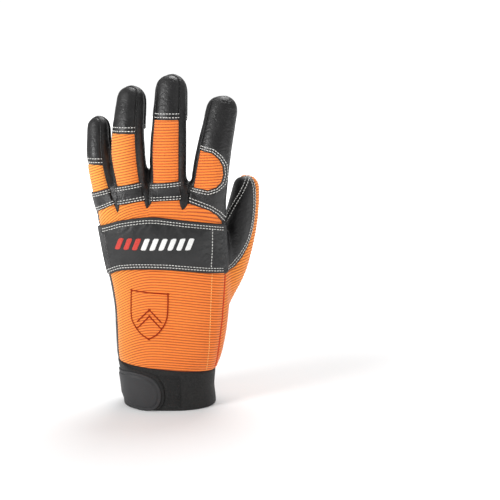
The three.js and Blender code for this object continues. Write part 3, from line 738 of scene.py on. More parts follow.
far = 200.0
seams = {
    "back": onHand([(.36, -.04), (.394, .113), (.418, .247), (.431, .354), (.443, .486)]),
    "thumb": onThumb([(.512, .594), (.576, .651), (.623, .717), (.66, .791), (.684, .85), (.697, .945), (.697, 1.04),
                      (.684, 1.142), (.66, 1.3)]),
    "palm": onThumb([(.212, -.06), (.217, .144), (.265, .233), (.33, .321), (.378, .403), (.392, .47), (.397, .571),
                     (.4, .669), (.45, .811), (.515, .969), (.548, 1.071), (.58, 1.3)]),
    "middle": onThumb([(.434, .848), (.473, .909), (.519, .976), (.572, 1.048), (.618, 1.139), (.63, 1.3)]),
    "index": [(43.2, 120.8), (42.3, 144.5), (38.6, 149.6), (33.3, 153.4), (25.9, 156.4), (17.7, 159.4), (17.0, 166)],
    # the knit's edge at the little finger's side, as y at heights z
    "little": [(20, -8.5), (60, -9), (104, -8.5), (125, -8), (140, -5), (152, -1), (165, 3.5), (190, 6), (240, 18)],
    # the gusset's edge on the thumb, as an angle round the thumb's axis at heights z
    "thumbAngles": [(100, -116), (112, -90), (118, -82), (124, -76), (130, -71), (136, -67), (148, -64), (160, -64),
                    (168, -68), (176, -80), (186, -96)],
    "forks": {"pinky": (-35.9, 151.5), "ring": (-13.9, 155.4), "middle": (13.2, 154.2)},
    "gap": 0.12,
    # where a fork's dark sides end at the left and right, as x at heights z
    "forkSides": {"pinky": ([(151.5, -35.9), (166, -41.6), (175, -45), (195, -46.5)],
                            [(151.5, -35.9), (153.4, -35.3), (172, -35.9), (182, -37.5), (195, -39.3)]),
                  "ring": ([(155.4, -13.9), (164.2, -16.4), (174.3, -17.7), (195, -19)],
                           [(155.4, -13.2), (159.8, -10.4), (164.2, -8.5), (174.3, -8.0), (195, -8.3)])},
    # how many degrees a knit's little-finger edge moves in at the finger's root
    "rootTurn": {"pinky": 0, "ring": 30, "middle": 10, "index": 0},
}
windowOutline = onHand([(.284, 1.118), (.351, 1.108), (.4, 1.08), (.43, 1.045), (.436, 1.0), (.42, .962), (.38, .938),
                        (.319, .925), (.2, .94), (.2, 1.135)])
tipSeam = {"drop": 2.3, "turn": 18}  # how far below the fingertip the cap ends, and where its side panel stops
nextFinger = {"pinky": "ring", "ring": "middle", "middle": "index"}


def seamCurve(name, angle, low):
    # a finger's seam in front view, from a height upwards
    spots = np.array([digitSpot(digits[name], s, angle) for s in np.linspace(0, 1, 40)])[:, [0, 2]]
    return [tuple(p) for p in spots if p[1] > low]


def forkOutline(name):
    fork = seams["forks"][name]
    other = nextFinger[name]
    left = seamCurve(name, fingers[name]["back"][1], fork[1] + 13)
    right = seamCurve(other, fingers[other]["back"][0], fork[1] + 13)
    leftLow, rightLow = ((fork[0] * 2 + side[0][0]) / 3 + out for side, out in ((left, -1.2), (right, 1.2)))
    if name in seams["forkSides"]:
        leftEdge, rightEdge = (lambda z, side=side: float(interpolate(side, np.array([z]))[0, 0])
                               for side in seams["forkSides"][name])
        left = [(min(x, leftEdge(z)), z) for x, z in left]
        right = [(max(x, rightEdge(z)), z) for x, z in right]
        leftLow, rightLow = leftEdge(fork[1] + 5), rightEdge(fork[1] + 5)
    left, right = [p for p in left if p[1] < 195], [p for p in right if p[1] < 195]
    leftSide = smoothLine([fork, (leftLow, fork[1] + 5)] + left[::4], 4)
    rightSide = smoothLine([fork, (rightLow, fork[1] + 5)] + right[::4], 4)
    return np.concatenate([leftSide, rightSide[::-1][:-1]])


def thumbSideOf(line):
    return list(line) + [(far, line[-1][1]), (far, line[0][1])]


def makeZones(points, normal):
    front = points[:, [0, 2]]
    x, y, z = points.T
    spots = {name: digitPlace(digit, points) for name, digit in digits.items()}
    names = list(fingers)
    skins = np.stack([spots[n]["skin"] for n in names])
    owner = skins.argmin(0)
    backness = -normal[:, 1] * 12

    def own(key):
        return np.choose(owner, [spots[n][key] for n in names])

    angle, off = own("angle"), own("off")
    arc = lambda degrees: np.radians(degrees) * off
    pick = lambda values: np.choose(owner, [np.full(len(points), float(v)) for v in values])
    lowBack, highBack = pick([fingers[n]["back"][0] for n in names]), pick([fingers[n]["back"][1] for n in names])
    rooted = 1 - np.clip((z - 165) / 30, 0, 1)
    lowBack = lowBack + rooted * pick([seams["rootTurn"][n] for n in names])
    onBack = np.minimum(arc(angle - lowBack), arc(highBack - angle))
    up = ramp(z, 160, 172)
    arches = {}
    for n in names[:3]:
        spot, digit, back = spots[n], digits[n], fingers[n]["back"]
        right, left = (digit["wide"][-1] * math.sin(math.radians(d)) * 1.04 for d in (back[1], -back[0]))
        across = (spot["sideways"] - (right - left) / 2) / ((right + left) / 2)
        upward = spot["beyond"] / (digit["tip"] - tipSeam["drop"])
        arch = (1 - np.hypot(across, upward)) * digit["tip"] * 0.8
        arches[n] = np.where(spot["beyond"] > 0, arch, 99.0)
    overTip = pick([0, 0, 0, 0])
    for n in names[:3]:
        overTip = np.where(owner == names.index(n), arches[n], overTip)
    overTip = np.where(owner == 3, 99.0, overTip)
    forks = {n: depthInside(front, forkOutline(n)) for n in nextFinger}
    forkNow = np.maximum.reduce(list(forks.values()))

    sidePanels = {}
    for n in names:
        k = names.index(n)
        row, spot = fingers[n], spots[n]
        turn = lambda d: np.radians(d) * spot["off"]
        others = np.min([spots[m]["skin"] for m in names if m != n], 0)
        nearer = (others - spot["skin"]) / 2
        for side in ("thumbSide", "littleSide"):
            if row[side] is None:
                continue
            if side == "thumbSide":
                inward = turn(spot["angle"] - row["back"][1])
                if n in arches:
                    inward = np.maximum(inward, np.minimum(-arches[n], turn(spot["angle"] + tipSeam["turn"])))
                wedge = np.minimum(inward, turn(row[side] - spot["angle"]))
                fork = forks[n]
                towards = spots[nextFinger[n]]["skin"]
            else:
                edge = row["back"][0] + rooted * seams["rootTurn"][n]
                wedge = np.minimum(turn(edge - spot["angle"]), turn(spot["angle"] - row[side]))
                before = {v: k for k, v in nextFinger.items()}[n]
                fork = forks[before]
                towards = spots[before]["skin"]
            low = np.where(y < 3, fork, np.minimum(z - 168, wedge + 3))
            mixed = low * (1 - up) + wedge * up
            halfway = (towards - spot["skin"]) / 2
            if fork is forks["pinky"]:
                halfway = halfway + (8 if n == "pinky" else -8) * (1 - ramp(z, 168, 175))
            sidePanels[n, side] = np.minimum(mixed, np.where(z < 176, halfway, nearer))
    anySide = np.maximum.reduce(list(sidePanels.values()))

    knitFront = [(-far, -20), (34, -20)] + seams["back"] + seams["index"] + [(17, 260), (-far, 260)]
    littleY = interpolate(seams["little"], z)[:, 0]
    handBack = np.minimum.reduce([depthInside(front, knitFront), littleY - y, -forkNow])
    backs = handBack * (1 - up) + onBack * up
    indexSpot, thumbSpot = spots["index"], spots["thumb"]
    beyondMiddle = (indexSpot["skin"] - spots["middle"]["skin"]) / 2
    backs = np.minimum(backs, np.where(z > 160, beyondMiddle, 99))
    capped = ("pinky", "ring", "middle")
    capLine = np.full(len(points), 1e3)
    for n in capped:
        edge = digits[n]["rootZ"] + digits[n]["cap"] * form["middleLength"]
        capLine = np.where(owner == names.index(n), edge - z, capLine)
    cuffEdge = z - form["cuffHeight"] + form["cuffTilt"] * x - 0.2

    gussetBack = depthInside(front, thumbSideOf(seams["back"] + seams["thumb"]))
    aroundThumb = spots["thumb"]["angle"] - interpolate(seams["thumbAngles"], z)[:, 0]
    aroundThumb = (aroundThumb + 180) % 360 - 180
    onThumb = ramp(z, 116, 130)
    gussetBack = gussetBack * (1 - onThumb) + np.radians(aroundThumb) * spots["thumb"]["off"] * onThumb
    gussetPalm = depthInside(front, thumbSideOf(seams["palm"]))
    gusset = np.maximum(np.minimum(gussetBack, backness + 1), np.minimum(gussetPalm, 1 - backness))
    gusset = np.minimum(gusset, (indexSpot["skin"] - thumbSpot["skin"]) / 2 + np.where(z > 150, 0, 30))

    thumbFace = [seams["back"][-1]] + seams["thumb"] + seams["middle"][::-1]
    thumbOwn = np.where(z > 139, (indexSpot["skin"] - thumbSpot["skin"]) / 2, 30)
    thumbFront = np.minimum.reduce([depthInside(front, thumbFace), backness + 2, -gusset, thumbOwn])
    innerLow = seams["middle"][0][1]
    thumbInner = np.minimum.reduce([1.2 - thumbSpot["skin"], z - innerLow, -thumbFront, -gusset, thumbOwn])

    turn = lambda d: np.radians(d) * indexSpot["off"]
    lowSide = np.where(y < 3, -forks["middle"], turn(indexSpot["angle"] + 45))
    leftEdge = lowSide * (1 - up) + turn(indexSpot["angle"] + 45) * up
    coverFoot = z - 143 - 0.35 * np.maximum(0, y + 12)
    cover = np.minimum.reduce([leftEdge, turn(110 - indexSpot["angle"]), coverFoot, -backs - np.where(z > 168, -99, 0),
                               -thumbFront, -thumbInner, -gusset, x - 8, -beyondMiddle + np.where(z < 165, 30, 0)])
    window = np.minimum.reduce([depthInside(front, windowOutline), cover, backness])
    zones = {
        "knit_back": np.minimum.reduce([backs, capLine, cuffEdge, -gusset]),
        "side_gusset": np.minimum(gusset, cuffEdge),
        "thumb_front": thumbFront, "thumb_inner": thumbInner,
        "index_window": window, "index_cover": np.minimum(cover, -window),
    }
    for n in capped:
        mine = np.where(owner == names.index(n), 99.0, -99.0)
        zones[n + "_cap"] = np.minimum.reduce([backs, -capLine, mine, overTip])
    for (n, side), field in sidePanels.items():
        tag = "thumb_side" if side == "thumbSide" else "little_side"
        zones[f"{n}_{tag}"] = field
    taken = np.maximum.reduce(list(zones.values()))
    zones["palm"] = np.minimum(-taken, cuffEdge)
    return zones, spots, owner




def broadNormals(rounds=12):
    # normals without the small unevenness, so that the seams that follow them run smoothly
    edges = np.concatenate([body.triangles[:, [0, 1]], body.triangles[:, [1, 2]], body.triangles[:, [2, 0]]])
    normals = body.values["normal"]
    for _ in range(rounds):
        total = np.stack([np.bincount(edges[:, 0], normals[edges[:, 1], k], len(normals)) for k in range(3)], 1)
        normals = total + normals
        normals /= np.linalg.norm(normals, axis=1)[:, None]
    return normals


broad = broadNormals()
zones, spots, owner = makeZones(body.points, broad)


def strayParts(inside):
    # the connected parts of a zone, apart from its largest
    edges = np.concatenate([body.triangles[:, [0, 1]], body.triangles[:, [1, 2]], body.triangles[:, [2, 0]]])
    edges = edges[inside[edges].all(1)]
    label = np.arange(len(inside))
    while True:
        low = label[edges].min(1)
        new = label.copy()
        np.minimum.at(new, edges[:, 0], low)
        np.minimum.at(new, edges[:, 1], low)
        new = new[new]
        if (new == label).all():
            break
        label = new
    names, counts = np.unique(label[inside], return_counts=True)
    return [np.flatnonzero(inside & (label == n)) for n in names[np.argsort(-counts)][1:]]


def mendZones():
    # a stray part of one zone goes to the zone that lies beside it
    given = 0
    for _ in range(2):
        for name, field in zones.items():
            for part in strayParts(field > seams["gap"]):
                mine = np.zeros(len(field), bool)
                mine[part] = True
                touching = mine[body.triangles].any(1)
                around = np.unique(body.triangles[touching])
                around = around[~mine[around]]
                others = [n for n in zones if n != name and (not name.endswith("side") or n.endswith("side") or n == "palm")]
                scores = {n: np.maximum(zones[n][around], -2).mean() for n in others}
                taker = max(scores, key=scores.get)
                zones[taker][part] = np.maximum(field[part], 0.3)
                near = around[zones[taker][around] > -0.35]
                zones[taker][near] = np.maximum(zones[taker][near], 0.2)
                field[part] = -np.abs(field[part]) - 0.1
                given += 1
    return given


print("zones made:", len(zones), "stray parts mended:", mendZones())
body.values["backs"] = np.maximum.reduce([zones[n] for n in ("knit_back", "pinky_cap", "ring_cap", "middle_cap", "index_cover",
                                                             "index_window")])
body.values["knit"] = zones["knit_back"]
body.values["gusset"] = zones["side_gusset"]


def waves(points, seed, length, height):
    # slow unevenness of worn cloth, from a few fixed sine waves
    rng = np.random.default_rng(seed)
    total = np.zeros(len(points))
    for _ in range(7):
        way = rng.normal(size=3)
        way /= np.linalg.norm(way)
        total += np.sin(points @ way * (2 * math.pi / (length * rng.uniform(0.7, 1.6))) + rng.uniform(0, 6.28))
    return total / 7**0.5 * height


panels = {
    # name: wall, puff over the middle, how deep the edge dips, look
    "palm": (1.7, 0.35, 0.35, "blackLeather"), "index_cover": (1.6, 0.3, 0.4, "blackLeather"),
    "pinky_cap": (1.5, 0.45, 0.5, "blackLeather"), "ring_cap": (1.5, 0.45, 0.5, "blackLeather"),
    "middle_cap": (1.5, 0.45, 0.5, "blackLeather"), "pinky_thumb_side": (1.5, 0.7, 0.4, "blackLeather"),
    "ring_little_side": (1.5, 0.7, 0.4, "blackLeather"), "ring_thumb_side": (1.5, 0.7, 0.4, "blackLeather"),
    "middle_little_side": (1.5, 0.7, 0.4, "blackLeather"), "middle_thumb_side": (1.5, 0.7, 0.4, "blackLeather"),
    "index_little_side": (1.5, 0.6, 0.4, "blackLeather"), "thumb_front": (1.6, 0.5, 0.5, "blackLeather"),
    "thumb_inner": (1.6, 0.4, 0.5, "blackLeather"),
}
sheets, pieces = {}, {}


def palmFolds(points):
    # slanted folds where the palm is gathered into the cuff
    x, y, z = points.T
    turn = (z - 0.42 * np.abs(x + 4) - 36) / 7.5 + 0.5 * np.sin(x / 9)
    crease = 1 - np.abs(np.sin(math.pi * turn)) ** 0.7
    return -0.75 * crease * ramp(y, 0, 12) * ramp(z, 33, 40) * (1 - ramp(z, 50, 66))


def leatherPanel(name):
    wall, puff, dip, look = panels[name]
    sheet = Sheet(body.points, body.triangles, dict(body.values)).trimmed(zones[name], seams["gap"])
    sheet.banded((0.35, 0.8, 1.5))
    d = sheet.values["rim"]
    outer = puff * ramp(d, 0.5, 6) - dip * (1 - ramp(d, 0, 1.5)) + waves(sheet.points, 5, 26, 0.12) * ramp(d, 1, 5)
    if name == "palm":
        outer += palmFolds(sheet.points) * ramp(d, 0, 4)
    pieces[name] = sheet.slab(outer, -wall, name, look)
    sheets[name] = sheet.outer


for name in panels:
    leatherPanel(name)
print("leather panels made:", len(panels))


lining = {"outer": -1.8, "inner": -2.3, "foot": 29.0}
inside = Sheet(body.points, body.triangles, dict(body.values)).trimmed(
    body.points[:, 2] + form["cuffTilt"] * body.points[:, 0] - lining["foot"])
liningPiece = inside.slab(lining["outer"], lining["inner"], "lining", "lining")
liningPiece.name = "lining"

knit = {"pitch": 2.05, "depth": 0.42, "wall": 1.4, "dip": 0.45, "puff": 0.3, "sagLeft": 13.0, "sagRight": 6.0,
        "lean": (.25, .18, .04, .08)}


def ribPhase(points, name, lean=0.0):
    # height along the knit's rows, in millimetres: the rows arch over the hand
    x, y, z = points.T
    if name == "side_gusset":
        return z * 0.955 - x * 0.30
    away = x + 8
    arch = np.where(away < 0, knit["sagLeft"] * (away / 32) ** 2, knit["sagRight"] * (away / 50) ** 2)
    onFingers = ramp(z, 140, 168)
    arch = arch * (1 - 0.9 * onFingers)
    return z + arch + 0.5 * np.sin(x / 17) * (1 - onFingers) - onFingers * lean * x


def ribTree():
    tree = bpy.data.node_groups.new("knitRibs", "GeometryNodeTree")
    face = tree.interface
    face.new_socket(name="Geometry", in_out="INPUT", socket_type="NodeSocketGeometry")
    for label in ("Pitch", "Depth"):
        face.new_socket(name=label, in_out="INPUT", socket_type="NodeSocketFloat")
    face.new_socket(name="Material", in_out="INPUT", socket_type="NodeSocketMaterial")
    face.new_socket(name="Geometry", in_out="OUTPUT", socket_type="NodeSocketGeometry")
    plan = Plan(tree)
    source = plan.add("NodeGroupInput")
    phase = plan.add("GeometryNodeInputNamedAttribute", {"data_type": "FLOAT"}, {"Name": "rib"})
    share = plan.add("GeometryNodeInputNamedAttribute", {"data_type": "FLOAT"}, {"Name": "ribDepth"})
    wave = (phase * math.pi / source.part("Pitch")).sum("SINE").sum("ABSOLUTE") - 0.6
    normal = plan.add("GeometryNodeInputNormal")
    rise = plan.add("ShaderNodeVectorMath", {"operation": "SCALE"},
                    {0: normal, "Scale": wave * share * source.part("Depth")})
    moved = plan.add("GeometryNodeSetPosition", {}, {"Geometry": source.part("Geometry"), "Offset": rise})
    plain = plan.add("GeometryNodeRealizeInstances", {}, {"Geometry": moved})
    dressed = plan.add("GeometryNodeSetMaterial", {}, {"Geometry": plain, "Material": source.part("Material")})
    plan.add("NodeGroupOutput", {}, {"Geometry": dressed})
    return tree


def baked(piece, tree, values):
    # runs a tree on a piece, with its inputs set by identifier, and keeps the plain mesh
    modifier = piece.modifiers.new(tree.name, "NODES")
    modifier.node_group = tree
    for item in tree.interface.items_tree:
        if item.item_type == "SOCKET" and item.in_out == "INPUT" and item.name in values:
            modifier[item.identifier] = values[item.name]
    mesh = bpy.data.meshes.new_from_object(piece.evaluated_get(bpy.context.evaluated_depsgraph_get()))
    piece.modifiers.remove(modifier)
    old, piece.data = piece.data, mesh
    mesh.name = piece.name
    bpy.data.meshes.remove(old)
    return piece


ribs = ribTree()


def knitPanel(name):
    lean = np.choose(owner, [np.full(len(owner), share) for share in knit["lean"]])
    values = dict(body.values, rib=ribPhase(body.points, name, lean))
    sheet = Sheet(body.points, body.triangles, values).trimmed(zones[name], seams["gap"])
    sheet.values["rim"] = sheet.fromRim()
    sheet.slice(sheet.values["rim"], 0.5, 0.05)
    low, high = sheet.values["rib"].min(), sheet.values["rib"].max()
    step = knit["pitch"] / 2
    for k in range(int(low / step), int(high / step) + 2):
        sheet.slice(sheet.values["rib"], k * step, 0.02)
    d = sheet.values["rim"]
    sheet.values["ribDepth"] = ramp(d, 0.2, 1.3)
    outer = knit["puff"] * ramp(d, 0.5, 6) - knit["dip"] * (1 - ramp(d, 0, 1.6)) + waves(sheet.points, 9, 40, 0.15) * ramp(d, 1, 5)
    pieces[name] = sheet.slab(outer, -knit["wall"], name, "orangeKnit")
    sheets[name] = sheet.outer
    baked(pieces[name], ribs, {"Pitch": knit["pitch"], "Depth": knit["depth"] * mm, "Material": looks["orangeKnit"]})


for name in ("knit_back", "side_gusset", "index_window"):
    knitPanel(name)
    corners = sheets[name].points[sheets[name].triangles]
    area = np.linalg.norm(np.cross(corners[:, 1] - corners[:, 0], corners[:, 2] - corners[:, 0]), axis=1).sum() / 2
    print(name, "triangles:", sum(len(p.vertices) - 2 for p in pieces[name].data.polygons), "area in mm2:", round(area))


# ---- panels sewn on top: knuckle guard, strips, palm patches, tip pads ----

guardSizes = {"width": 92.0, "height": 43.0, "foot": 106.0, "thick": 1.7, "plump": 1.6, "rows": (2.2, 4.1)}
guardTable = [
    (.492, -.02), (.36, .015), (.2, .055), (.03, .09), (-.13, .1), (-.25, .092), (-.37, .06), (-.455, -.02), (-.505, .28),
    (-.54, .58), (-.57, .8), (-.45, .886), (-.37, .94), (-.2, 1), (-.08, 1.01), (.04, .984), (.2, .94),
    (.36, .895), (.492, .845), (.502, .5)]
guardOutline = np.array([(x * guardSizes["width"], guardSizes["foot"] + z * guardSizes["height"]) for x, z in guardTable])
guardFootLine = smoothLine(guardOutline[:8], 6)
guardTopLine = smoothLine(guardOutline[10:19], 6)
guardPast = [guardOutline[7] + (-14, -7), guardOutline[10] + (-10, -4)]  # its end lies in the little side's seam
guardEnd = smoothLine(guardOutline[[18, 19, 0]], 5)
guardEdge = np.concatenate([guardFootLine, guardPast, guardTopLine, guardEnd[1:-1]])

guardSeams = [smoothLine([(35.2, 145), (34.9, 124.2), (34.2, 104)], 6)]

strips = {
    # upper edge, lower edge, and how far the strip may reach along x
    "pinky": ([(-60, 165.0), (-54.8, 166.2), (-42.7, 169.9), (-36, 171.8)], [(-60, 149.5), (-52.2, 151.7), (-42.3, 156.3), (-36, 158.5)], (-99, -36.5)),
    "ring": ([(-40, 170.8), (-35.8, 171.5), (-19.4, 174.8), (-10, 176.5)], [(-40, 156.2), (-36.2, 157.2), (-16.7, 160.9), (-10, 162)], (-40, -13)),
    "middle": ([(-14, 173.3), (-8.9, 173.8), (9.8, 175.7), (16, 176.2)], [(-14, 160), (-9.9, 160.3), (11.1, 161.4), (16, 161.6)], (-16, 15)),
}
stripSizes = {"thick": 1.0, "rows": (1.4, 3.2)}

patchTop = onHand([
    (-.54, .83), (-.545, .92), (-.535, .98), (-.5, .995), (-.465, .97), (-.43, .87), (-.385, .825), (-.335, .87),
    (-.315, .98), (-.27, 1.034), (-.225, .985), (-.16, .9), (-.115, .877), (-.06, .915), (-.035, 1.01), (.02, 1.04),
    (.065, .985), (.1, .885), (.16, .836), (.22, .87), (.25, .96), (.305, 1.01), (.345, .97), (.36, .9)])
patchThumbEdge = onHand([(.24, .77), (.24, .68), (.27, .57), (.29, .456), (.305, .405)])
patchFoot = onHand([
    (.315, .358), (.25, .3), (.168, .257), (.043, .216), (-.08, .2), (-.2, .2), (-.315, .213), (-.37, .24),
    (-.395, .28), (-.395, .34), (-.42, .432)])
patchOutline = np.concatenate([smoothLine(patchTop, 4), smoothLine(patchThumbEdge, 3), smoothLine(patchFoot, 3),
                               onHand([(-.47, .57), (-.505, .7)])])
upperQuilt = smoothLine(onHand([(-.7, .728), (-.325, .746), (-.055, .78), (.117, .8), (.225, .774), (.4, .72)]), 4)
lowerQuilt = smoothLine(onHand([(-.7, .41), (-.5, .436), (-.25, .486), (.074, .584), (.23, .638), (.5, .72)]), 4)
patchSizes = {"thick": 1.1, "plump": 1.5, "tipThick": 0.9, "row": 1.3, "second": 3.2}
overlayBase = 0.42


def heightOver(line, x):
    line = np.array(line)
    return np.interp(x, line[:, 0], line[:, 1])


def cutEdge(distance, radius):
    # a rounded cut edge that starts at two fifths of the height
    t = np.clip(distance / radius, 0, 1)
    return 0.4 + 0.6 * np.sqrt(1 - (1 - t) ** 2)


cushion = {"scale": 3.0, "pressure": 4.0, "frames": 20, "quality": 6, "mass": 0.2, "stiffness": 12.0, "bending": 0.3,
           "slack": 0.04}


def blownUp(sheet, pinned, cap):
    # how far cloth that is sewn down at the pinned points swells from the padding under it, at most to the cap
    scale = cushion["scale"] * mm
    mesh = bpy.data.meshes.new("padding")
    mesh.from_pydata((sheet.points * scale).tolist(), [], sheet.triangles.tolist())
    cloth = bpy.data.objects.new("padding", mesh)
    scene.collection.objects.link(cloth)
    cloth.vertex_groups.new(name="pinned").add(np.flatnonzero(pinned).tolist(), 1.0, "REPLACE")
    modifier = cloth.modifiers.new("cloth", "CLOTH")
    settings = modifier.settings
    settings.quality, settings.mass = cushion["quality"], cushion["mass"]
    settings.tension_stiffness = settings.compression_stiffness = cushion["stiffness"]
    settings.shear_stiffness, settings.bending_stiffness = cushion["stiffness"] / 2, cushion["bending"]
    settings.vertex_group_mass = "pinned"
    settings.use_pressure, settings.uniform_pressure_force = True, cushion["pressure"]
    settings.effector_weights.gravity = 0
    settings.shrink_min = -cushion["slack"]
    modifier.collision_settings.use_collision = False
    modifier.point_cache.frame_start, modifier.point_cache.frame_end = 1, cushion["frames"]
    for step in range(1, cushion["frames"] + 1):
        scene.frame_set(step)
    result = cloth.evaluated_get(bpy.context.evaluated_depsgraph_get())
    co = np.zeros(len(sheet.points) * 3)
    result.data.vertices.foreach_get("co", co)
    bpy.data.objects.remove(cloth)
    bpy.data.meshes.remove(mesh)
    scene.frame_set(1)
    rise = ((co.reshape(-1, 3) / scale - sheet.points) * sheet.values["normal"]).sum(1)
    print("swells by up to", round(float(rise.max()), 2), "mm, capped to", cap)
    return cap * np.tanh(np.maximum(rise, 0) / cap)


def sewnOn(name, field, thick, look, plump=0.0, rows=(), spread=7.0, seed=3, low=overlayBase, sewn=()):
    # a panel over the others, with a rounded edge and a dent along its own stitch rows
    sheet = Sheet(body.points, body.triangles, dict(body.values)).trimmed(field, 0.0)
    padded = plump > 0.5 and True
    if padded:
        pinned = sheet.fromRim() < max(rows) + 0.4
        for line in sewn:
            pinned |= distanceTo(sheet.points[:, [0, 2]], line) < 1.0
        sheet.values["puff"] = blownUp(sheet, pinned, plump)
    sheet.banded((0.22, 0.5, 0.95))
    for row in rows:
        for level in (row - 0.7, row, row + 0.7):
            sheet.slice(sheet.values["rim"], level, 0.05)
    d = sheet.values["rim"]
    dents = sum((np.exp(-((d - row) / 0.55) ** 2) for row in rows), np.zeros(len(d)))
    start = max(rows) if rows else 1.0
    swell = sheet.values["puff"] if padded else plump * ramp(d, start, start + spread)
    swell = swell + waves(sheet.points, seed, 19, 0.16) * ramp(d, 1, 6)
    for line in sewn:
        dents = dents + np.exp(-(distanceTo(sheet.points[:, [0, 2]], line) / 0.6) ** 2)
    outer = low + thick * cutEdge(d, 0.9) + swell - 0.28 * dents
    pieces[name] = sheet.slab(outer, low, name, look)
    sheets[name] = sheet.outer


front = body.points[:, [0, 2]]
bx, by, bz = body.points.T
backness = -broad[:, 1] * 12
guardReach = np.where(bx < 0, interpolate(seams["little"], bz)[:, 0] + 0.8, np.interp(bx, (0, 35), (2, -6.5))) - by
sewnOn("knuckle_guard", np.minimum(depthInside(front, guardEdge), guardReach), guardSizes["thick"], "patchLeather",
       plump=guardSizes["plump"], rows=guardSizes["rows"], spread=9, sewn=guardSeams)

names = list(fingers)
backZone = np.maximum.reduce([zones[n] for n in ("knit_back", "pinky_cap", "ring_cap", "middle_cap")])
for name, (upper, lower, (left, right)) in strips.items():
    band = np.minimum.reduce([heightOver(upper, bx) - bz, bz - heightOver(lower, bx), backZone + 0.3, bx - left,
                              right - bx])
    sewnOn(name + "_strip", band, stripSizes["thick"], "blackLeather", low=0.5)

patchZone = np.minimum.reduce([depthInside(front, patchOutline), -backness - 1.5, -zones["side_gusset"] - 0.4])
aboveUpper, aboveLower = bz - heightOver(upperQuilt, bx), bz - heightOver(lowerQuilt, bx)
patchFields = {
    "upper_palm_patch": (np.minimum(patchZone, aboveUpper - 0.15), (1.3,)),
    "middle_palm_patch": (np.minimum.reduce([patchZone, -aboveUpper - 0.15, aboveLower - 0.15]), (1.3,)),
    "lower_palm_patch": (np.minimum(patchZone, -aboveLower - 0.15), (1.3,)),
}
for name, (field, rows) in patchFields.items():
    sewnOn(name, field, patchSizes["thick"], "patchLeather", plump=patchSizes["plump"], rows=rows, spread=8)

for name in ("pinky", "ring", "middle"):
    row, spot = fingers[name], spots[name]
    fromPalm = (spot["angle"] + 360) % 360
    first = row["thumbSide"] + 7
    last = 360 + (row["littleSide"] or row["back"][0]) - 7
    high = digits[name]["rootZ"] + row["pad"] * form["middleLength"]
    field = np.minimum.reduce([np.radians(fromPalm - first) * spot["off"], np.radians(last - fromPalm) * spot["off"],
                               bz - high, np.where(owner == names.index(name), 99.0, -99.0)])
    sewnOn(name + "_tip_pad", field, patchSizes["tipThick"], "patchLeather", plump=0.3, low=0.4, spread=4)
print("sewn panels made")


# ---- cuff, closure band, grip tab and hook tape ----

cuff = {"height": 32.0, "width": 75.0, "depth": 51.0, "wall": 2.4, "bandThick": 1.1, "tabThick": 1.5, "tabRim": 2.4}
cuffSections = [(-.2, .455, .48, .99), (0, .46, .485, 1), (.5, .478, .472, .985), (1, .514, .482, .97), (1.3, .545, .49, .99)]


def cuffRing(z, grow, count=160):
    # a ring of the cuff; its upper part follows the tilt of the seam above it
    turns = np.linspace(0, 2 * math.pi, count, endpoint=False)
    little, thumb, deep = interpolate(cuffSections, z / cuff["height"])[0]
    little, thumb = little * cuff["width"] + grow, thumb * cuff["width"] + grow
    deep = deep * cuff["depth"] / 2 + grow
    centre, half = (thumb - little) / 2, (thumb + little) / 2
    angle = np.arctan2(half * np.sin(turns), deep * np.cos(turns))
    reach = reachOf(angle, deep, half, 2.35)
    x = centre + reach * np.sin(angle)
    return np.stack([x, -reach * np.cos(angle), z - form["cuffTilt"] * x * max(z, 0) / cuff["height"]], 1)


def gridFaces(rows, count, closed=True):
    i = np.arange(count)
    j = (i + 1) % count
    made = []
    for r in range(rows - (0 if closed else 1)):
        a, b = r * count, ((r + 1) % rows) * count
        made += [np.stack([a + i, a + j, b + j], 1), np.stack([a + i, b + j, b + i], 1)]
    return np.concatenate(made)


def makeCuff():
    wall, top = cuff["wall"], cuff["height"] - 0.2
    outside = [(0.0, -0.9), (0.25, -0.35), (0.8, 0.0)] + [(z, 0.0) for z in np.linspace(1.8, top - 2.6, 22)]
    outside += [(top - 1.6, -0.05), (top - 0.8, -0.2), (top - 0.25, -0.55), (top, -1.1)]
    inside = [(top, -wall + 0.5), (top - 0.4, -wall)] + [(z, -wall) for z in np.linspace(top - 2, 2, 12)]
    inside += [(0.4, -wall), (0.0, -wall + 0.5)]
    rows = []
    for z, grow in outside + inside:
        ring = cuffRing(z, grow)
        hem = 0.16 * math.exp(-((z - 4.2) / 0.5) ** 2) + 0.16 * math.exp(-((z - 28.4) / 0.5) ** 2) if grow > -0.3 else 0
        ring[:, :2] *= 1 - hem / 36
        rows.append(ring)
    points = np.concatenate(rows)
    points[:, :2] *= (1 + waves(points, 21, 30, 0.25) / 36)[:, None]
    return newPiece(pieceName("cuff"), points, gridFaces(len(rows), len(rows[0])), "cuffElastic")


pieces["cuff"] = makeCuff()
wrapRows = [cuffRing(z, 0.0, 220) for z in np.linspace(-1.5, 38.5, 40)]
wrap = Sheet(np.concatenate(wrapRows), gridFaces(len(wrapRows), 220, False))
wrap.values["normal"] = wrap.normals()


def onCuff(name, field, low, thick, look, levels, shape, pile=0.0):
    sheet = Sheet(wrap.points, wrap.triangles, dict(wrap.values)).trimmed(field, 0.0)
    sheet.banded(levels)
    d = sheet.values["rim"]
    fuzz = pile * np.random.default_rng(31).random(len(d)) * ramp(d, 0, 1.5)
    pieces[name] = sheet.slab(low + thick * shape(d) + fuzz, low, name, look)
    sheets[name] = sheet.outer


